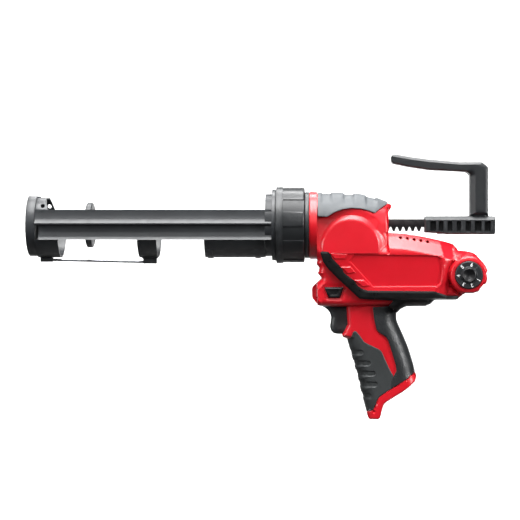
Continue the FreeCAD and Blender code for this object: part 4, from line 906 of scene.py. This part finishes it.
# ---- trigger and lock button
TRIGGER_FRONT = [(-58.0, 44.0), (-53.3, 41.7), (-50.0, 37.7), (-48.6, 33.0), (-49.4, 28.0), (-50.0, 24.3),
                 (-49.2, 20.3), (-46.6, 17.3), (-43.2, 16.4)]
TRIGGER = rounded(TRIGGER_FRONT + [(-24.5, 16.4), (-24.5, 44.0)], 2.0)
SPRING_ROOM = 4.2        # half width of the hollow that the spring works in
SPRING_X = -41.6         # front of that hollow


def trigger_face(p):
    return np.maximum(7.3 - edge_drop(distance(p, TRIGGER_FRONT + [(-35.0, 16.4)], False), 6.0, 5.2), 0.5)


def trigger_room(p):
    return np.where(p[:, 0] > SPRING_X, SPRING_ROOM, 0.02)


def trigger(side, left):
    folds = [([(x, 17.5), (x, 43.5)], False) for x in (SPRING_X - 0.1, SPRING_X + 0.1)]
    lever = slab("trigger_" + side, TRIGGER, trigger_face, trigger_room, TRIGGER_NYLON, "trigger", grid=1.0,
                 lines=folds, rings=(0.15, 0.4, 0.9, 1.6, 2.5, 3.6, 4.8), mirror=not left)
    if left:
        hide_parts("trigger")


def button_face(p):
    """Half width of the lock button, with a dished end."""
    d = depth_in(p, BUTTON)
    return 25.4 - edge_drop(d, 1.1, 1.0) - 0.35 * ease((d - 1.6) / 1.6)


def lock_button():
    knob = slab("lock_button_bar", rounded(BUTTON, 0.8), button_face, lambda p: -button_face(p), DARK_NYLON,
                "lock_button", grid=0.8, rings=(0.15, 0.4, 0.8, 1.2, 1.8, 2.6))
    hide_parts("lock_button")


# ---- rod handle
LEVER_TOP = [(13.1, 195.8), (30.0, 192.9), (49.0, 190.3), (78.3, 187.8), (101.1, 187.8), (107.4, 183.0)]
HANDLE = rounded([
    (44.2, 117.6), (58.8, 116.9), (66.0, 115.9), (113.4, 115.9), (114.6, 117.2), (114.6, 132.8),
    (113.2, 133.9), (107.4, 134.0)] + LEVER_TOP[::-1] + [
    (11.0, 193.4), (10.9, 189.0), (12.3, 186.7), (27.0, 183.4), (49.0, 180.1), (71.0, 179.0), (86.0, 178.2),
    (89.5, 175.2), (89.5, 134.0), (45.4, 133.9), (44.2, 132.6)], 1.2)
POCKETS = [[(a, 119.2), (b, 119.2), (b, 129.1), (a, 129.1)] for a, b in (
    (49.7, 55.6), (58.2, 62.9), (67.0, 71.7), (76.1, 80.2), (84.9, 90.1), (94.1, 100.7), (104.0, 109.9))]
HANDLE_HALF = 11.9       # half width of the handle
POCKET_FLOOR = 5.4       # half width left between the pockets of both sides
BLOCK_TOP = [(44.2, 133.9), (114.6, 133.9)]
LEG_FRONT = [(89.5, 137.5), (89.5, 174.0)]
LEG_BACK = [(107.4, 137.5), (107.4, 181.0)]
HANDLE_BEVELS = ((BLOCK_TOP, 3.6, 3.4), (LEG_FRONT, 5.2, 3.0), (LEG_BACK, 2.4, 1.7), (LEVER_TOP, 2.5, 2.4))


def handle_face(p):
    """Half width of the handle; its bevels are (line, width, drop)."""
    h = HANDLE_HALF - np.clip(1.2 - depth_in(p, HANDLE), 0, 1.2)
    for line, width, drop in HANDLE_BEVELS:
        h = np.minimum(h, HANDLE_HALF - drop + drop * np.clip(distance(p, line, False) / width, 0, 1))
    for pocket in POCKETS:
        h = np.where(depth_in(p, pocket) > 0.03, POCKET_FLOOR, h)
    return h


def rod_handle():
    folds = [(shifted(as_loop(pocket), d), True) for pocket in POCKETS for d in (0.0, 0.1)]
    folds += [([(45.5, 130.3), (113.5, 130.3)], False), ([(94.7, 137.5), (94.7, 176.5)], False),
              ([(105.0, 137.5), (105.0, 180.0)], False), (shifted(LEVER_TOP, -2.5, False), False)]
    grab = slab("rod_handle_hook", HANDLE, handle_face, lambda p: -handle_face(p), NYLON, "push_rod",
                lines=folds, rings=(0.4, 0.8, 1.2, 2.0), grid=2.0, angle=25.0)
    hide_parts("rod_handle")


# ---- speed dial
DIAL_FACE = -26.9        # place of the dial's flat face along Y
WHEEL = [(5.8, 0.0), (5.8, 13.2), (5.2, 13.6), (1.0, 13.7), (0.35, 13.4), (0.0, 12.9), (0.1, 8.4),
         (-0.6, 7.8), (-0.6, 7.4), (0.5, 7.2), (0.5, 0.0)]
HUB = [(0.6, 0.0), (0.6, 7.1), (-1.5, 7.0), (-2.1, 6.7), (-2.3, 6.3), (-2.1, 5.8), (-1.3, 3.9), (-0.7, 2.5),
       (-0.4, 1.2), (-0.3, 0.0)]
NUMERALS = (("6", 76), ("5", 130), ("4", 184), ("3", 239), ("2", 285), ("1", 333))
NUMERAL_RADIUS = 10.3
KNURLS = 30


def from_face(points):
    """Profile points moved from the dial's face to their place along Y."""
    return [(DIAL_FACE + along, radius) for along, radius in points]


def knurled(along, radius, a):
    if radius < 13.0 or along > DIAL_FACE + 3.2:
        return radius
    return radius - 0.35 * max(0.0, math.cos(a * KNURLS)) ** 4


def speed_dial():
    dial = turned("speed_dial_wheel", from_face(WHEEL), DIAL, NYLON, "speed_dial", count=180, shape=knurled,
                  angle=30.0)
    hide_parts("speed_dial")
    hub = turned("speed_dial_hub", from_face(HUB), DIAL, GREY_NYLON, "speed_dial")
    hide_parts("dial_cap")


def numeral(text, turn):
    """White number on the dial's face, `turn` degrees round from the rear."""
    data = bpy.data.curves.new("numeral", "FONT")
    data.body = text
    data.size = 5.0 * MM
    data.extrude = 0.06 * MM
    data.offset = 0.13 * MM
    data.align_x = "CENTER"
    data.align_y = "CENTER"
    temp = placed("numeral", data)
    bpy.context.view_layer.update()
    mesh = bpy.data.meshes.new_from_object(temp)
    bpy.data.objects.remove(temp)
    mesh.materials.clear()
    mesh.materials.append(WHITE_INK)
    obj = placed("dial_number_" + text, mesh)
    a = math.radians(turn)
    x = DIAL[0] + NUMERAL_RADIUS * math.cos(a)
    z = DIAL[1] + NUMERAL_RADIUS * math.sin(a)
    obj.location = (x * MM, (DIAL_FACE - 0.02) * MM, z * MM)
    obj.rotation_mode = "XYZ"
    obj.rotation_euler = (math.pi / 2, -(a - math.pi / 2), 0.0)
    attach(obj, "speed_dial")


# ---- rails
# Sections are (outward, up) points from the rod axis.
RAIL_OUT = [(27.9, 15.3), (28.0, 12.6), (28.5, 9.0), (29.4, 5.8), (30.6, 3.6), (31.9, 2.0)]
RAIL_IN = [(28.8, 2.8), (27.5, 5.8), (26.8, 9.0), (26.4, 12.4), (26.4, 15.3)]
RAIL_LOW_OUT = [(31.9, 0.9), (30.0, 0.3), (28.8, -0.2), (28.8, -7.0), (29.6, -11.5), (31.2, -14.3)]
RAIL_LOW_IN = [(29.4, -14.3), (28.1, -11.0), (27.3, -7.0), (27.2, 0.4)]
RAIL_END = -340.4        # end of the rail at the front plate
FLUTE_START = -336.4     # where the lower flute begins
FLUTE_LENGTH = 228.6
RAIL_PARTS = 12
RAIL_STATIONS = [RAIL_END] + [FLUTE_START + FLUTE_LENGTH * i / RAIL_PARTS for i in range(RAIL_PARTS + 1)]


def rail(side, mirror):
    """Pressed rail: its lower flute starts a little behind the front plate."""
    upper, lower, low_in, high_in = (
        [tuple(v) for v in rounded(line, 0.8, closed=False)]
        for line in (RAIL_OUT, RAIL_LOW_OUT, RAIL_LOW_IN, RAIL_IN))
    whole = upper + lower + low_in + high_in
    size, last = len(whole), len(RAIL_STATIONS) - 1
    flute = list(range(len(upper), size - len(high_in)))
    top = [i for i in range(size) if i not in flute[1:-1]]
    outward = MM if mirror else -MM
    verts = [(x * MM, outward * out, (ROD + up) * MM) for x in RAIL_STATIONS for out, up in whole]
    faces = []
    for k in range(last):
        loop = top if k == 0 else list(range(size))
        for a, b in zip(loop, loop[1:] + loop[:1]):
            faces.append((k * size + a, k * size + b, (k + 1) * size + b, (k + 1) * size + a))
    faces.append(tuple(top[::-1]))
    faces.append(tuple(size + i for i in flute[::-1]))
    faces.append(tuple(last * size + i for i in range(size)))
    used = sorted({i for f in faces for i in f})
    place = {old: new for new, old in enumerate(used)}
    obj = mesh_object("rail_bar_" + side, [verts[i] for i in used], [[place[i] for i in f] for f in faces],
                      PAINT, "carriage", angle=30.0)
    face_outwards(obj.data)
    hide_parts("rail_" + side)


# ---- kept CAD pieces
BEVELS = {
    "locking_collar": 0.7, "nose_ring": 0.6, "barrel_ring": 0.6, "front_plate": 0.7, "front_band": 0.5,
    "middle_band": 0.5, "rear_saddle": 0.5, "plunger": 0.6, "rack": 0.3, "gear_frame_left": 0.03,
    "bevel_pinion": 0.03, "wire_bracket": 0.4, "wire_clip": 0.4}
OTHER_BEVELS = 0.15


def dress(node, obj, slot):
    """Material and bevelled edges for a piece that is shown as the CAD made it."""
    obj.data.materials.clear()
    obj.data.materials.append(SLOT_MATERIAL[slot])
    weld = obj.modifiers.new("weld", "WELD")
    weld.merge_threshold = 0.00002
    flat = obj.modifiers.new("flat", "DECIMATE")
    flat.decimate_type = "DISSOLVE"
    flat.angle_limit = math.radians(1.0)
    bevel = obj.modifiers.new("bevel", "BEVEL")
    bevel.width = BEVELS.get(node, OTHER_BEVELS) * MM
    bevel.segments = 2
    bevel.limit_method = "ANGLE"
    bevel.angle_limit = math.radians(35.0)
    bevel.use_clamp_overlap = True
    bevel.harden_normals = False
    split = obj.modifiers.new("split", "EDGE_SPLIT")
    split.split_angle = math.radians(35.0)


# ---- stage, light, camera, in metres
FLOOR_PROFILE = [(-0.9, -3.6), (1.6, -3.6), (2.3, -3.4), (2.75, -2.9), (3.0, -2.2), (3.0, 3.2)]
LAMPS = (                # name, place, aim, size, watts, spread in degrees
    ("top_softbox", (-0.1, -0.16, 1.2), (-0.1, 0.0, 0.1), (1.6, 0.6), 7.8, 70),
    ("front_softbox", (-0.15, -0.75, 1.25), (-0.05, 0.0, 0.08), (1.4, 0.5), 3.7, 60),
    ("back_softbox", (-0.15, 0.6, 1.1), (-0.15, 0.0, 0.12), (1.2, 0.3), 2.0, 60),
    ("front_fill", (-0.3, -1.9, 0.9), (0.0, 0.0, 0.08), (1.2, 0.8), 0.8, 60),
    ("right_fill", (1.45, -0.68, 0.5), (0.1, 0.0, 0.08), (0.3, 0.8), 2.1, 50),
    ("left_fill", (-1.7, -0.8, 0.5), (0.0, 0.0, 0.08), (0.35, 1.0), 1.4, 50),
    ("wall_wash", (-0.25, 0.6, 2.4), (-0.25, 3.0, 0.0), (3.0, 0.3), 30.0, 38))


def sweep():
    """Low floor that curves up into a wall behind the tool."""
    verts = [(x, y, z) for y, z in FLOOR_PROFILE for x in (-4.0, 4.0)]
    faces = [(2 * i, 2 * i + 1, 2 * i + 3, 2 * i + 2) for i in range(len(FLOOR_PROFILE) - 1)]
    mesh = bpy.data.meshes.new("floor")
    mesh.from_pydata(verts, [], faces)
    mesh.shade_smooth()
    mesh.materials.append(PALE_FLOOR)
    obj = placed("floor", mesh)


def lamp(name, place, aim, size, power, spread):
    data = bpy.data.lights.new(name, "AREA")
    data.shape = "RECTANGLE"
    data.size, data.size_y = size
    data.energy = power
    data.spread = math.radians(spread)
    obj = placed(name, data)
    obj.location = place
    obj.rotation_mode = "QUATERNION"
    obj.rotation_quaternion = (Vector(aim) - Vector(place)).to_track_quat("-Z", "Y")


def world_light():
    world = bpy.data.worlds.new("studio")
    bpy.context.scene.world = world
    world.use_nodes = True
    background = world.node_tree.nodes["Background"].inputs
    background["Color"].default_value = (1, 1, 1, 1)
    background["Strength"].default_value = 0.04
    bpy.context.scene.view_settings.view_transform = "Standard"


def add_camera():
    camera = bpy.data.cameras.new("camera")
    camera.sensor_width = 36.0
    camera.lens = 124.6
    camera.shift_x = -0.144
    camera.shift_y = -0.067
    camera.clip_start, camera.clip_end = 0.05, 20.0
    eye = placed("camera", camera)
    eye.location = (-0.045, -1.8, 0.125)
    eye.rotation_euler = (math.pi / 2, 0.0, 0.0)
    bpy.context.scene.camera = eye


# ---- the whole scene
for make in (shell, top_pad, belt_cover, grip_rubber, trigger):
    for side, left in SIDES:
        make(side, left)
lock_button()
rod_handle()
speed_dial()
for text, turn in NUMERALS:
    numeral(text, turn)
rail("left", False)
rail("right", True)

SLOT_OF = {s["node"]: s["material_slot"] for s in frame["record"]["subparts"]}
for node, obj in NODES.items():
    if not obj.hide_render:
        dress(node, obj, SLOT_OF[node])

sweep()
for settings in LAMPS:
    lamp(*settings)
world_light()
add_camera()
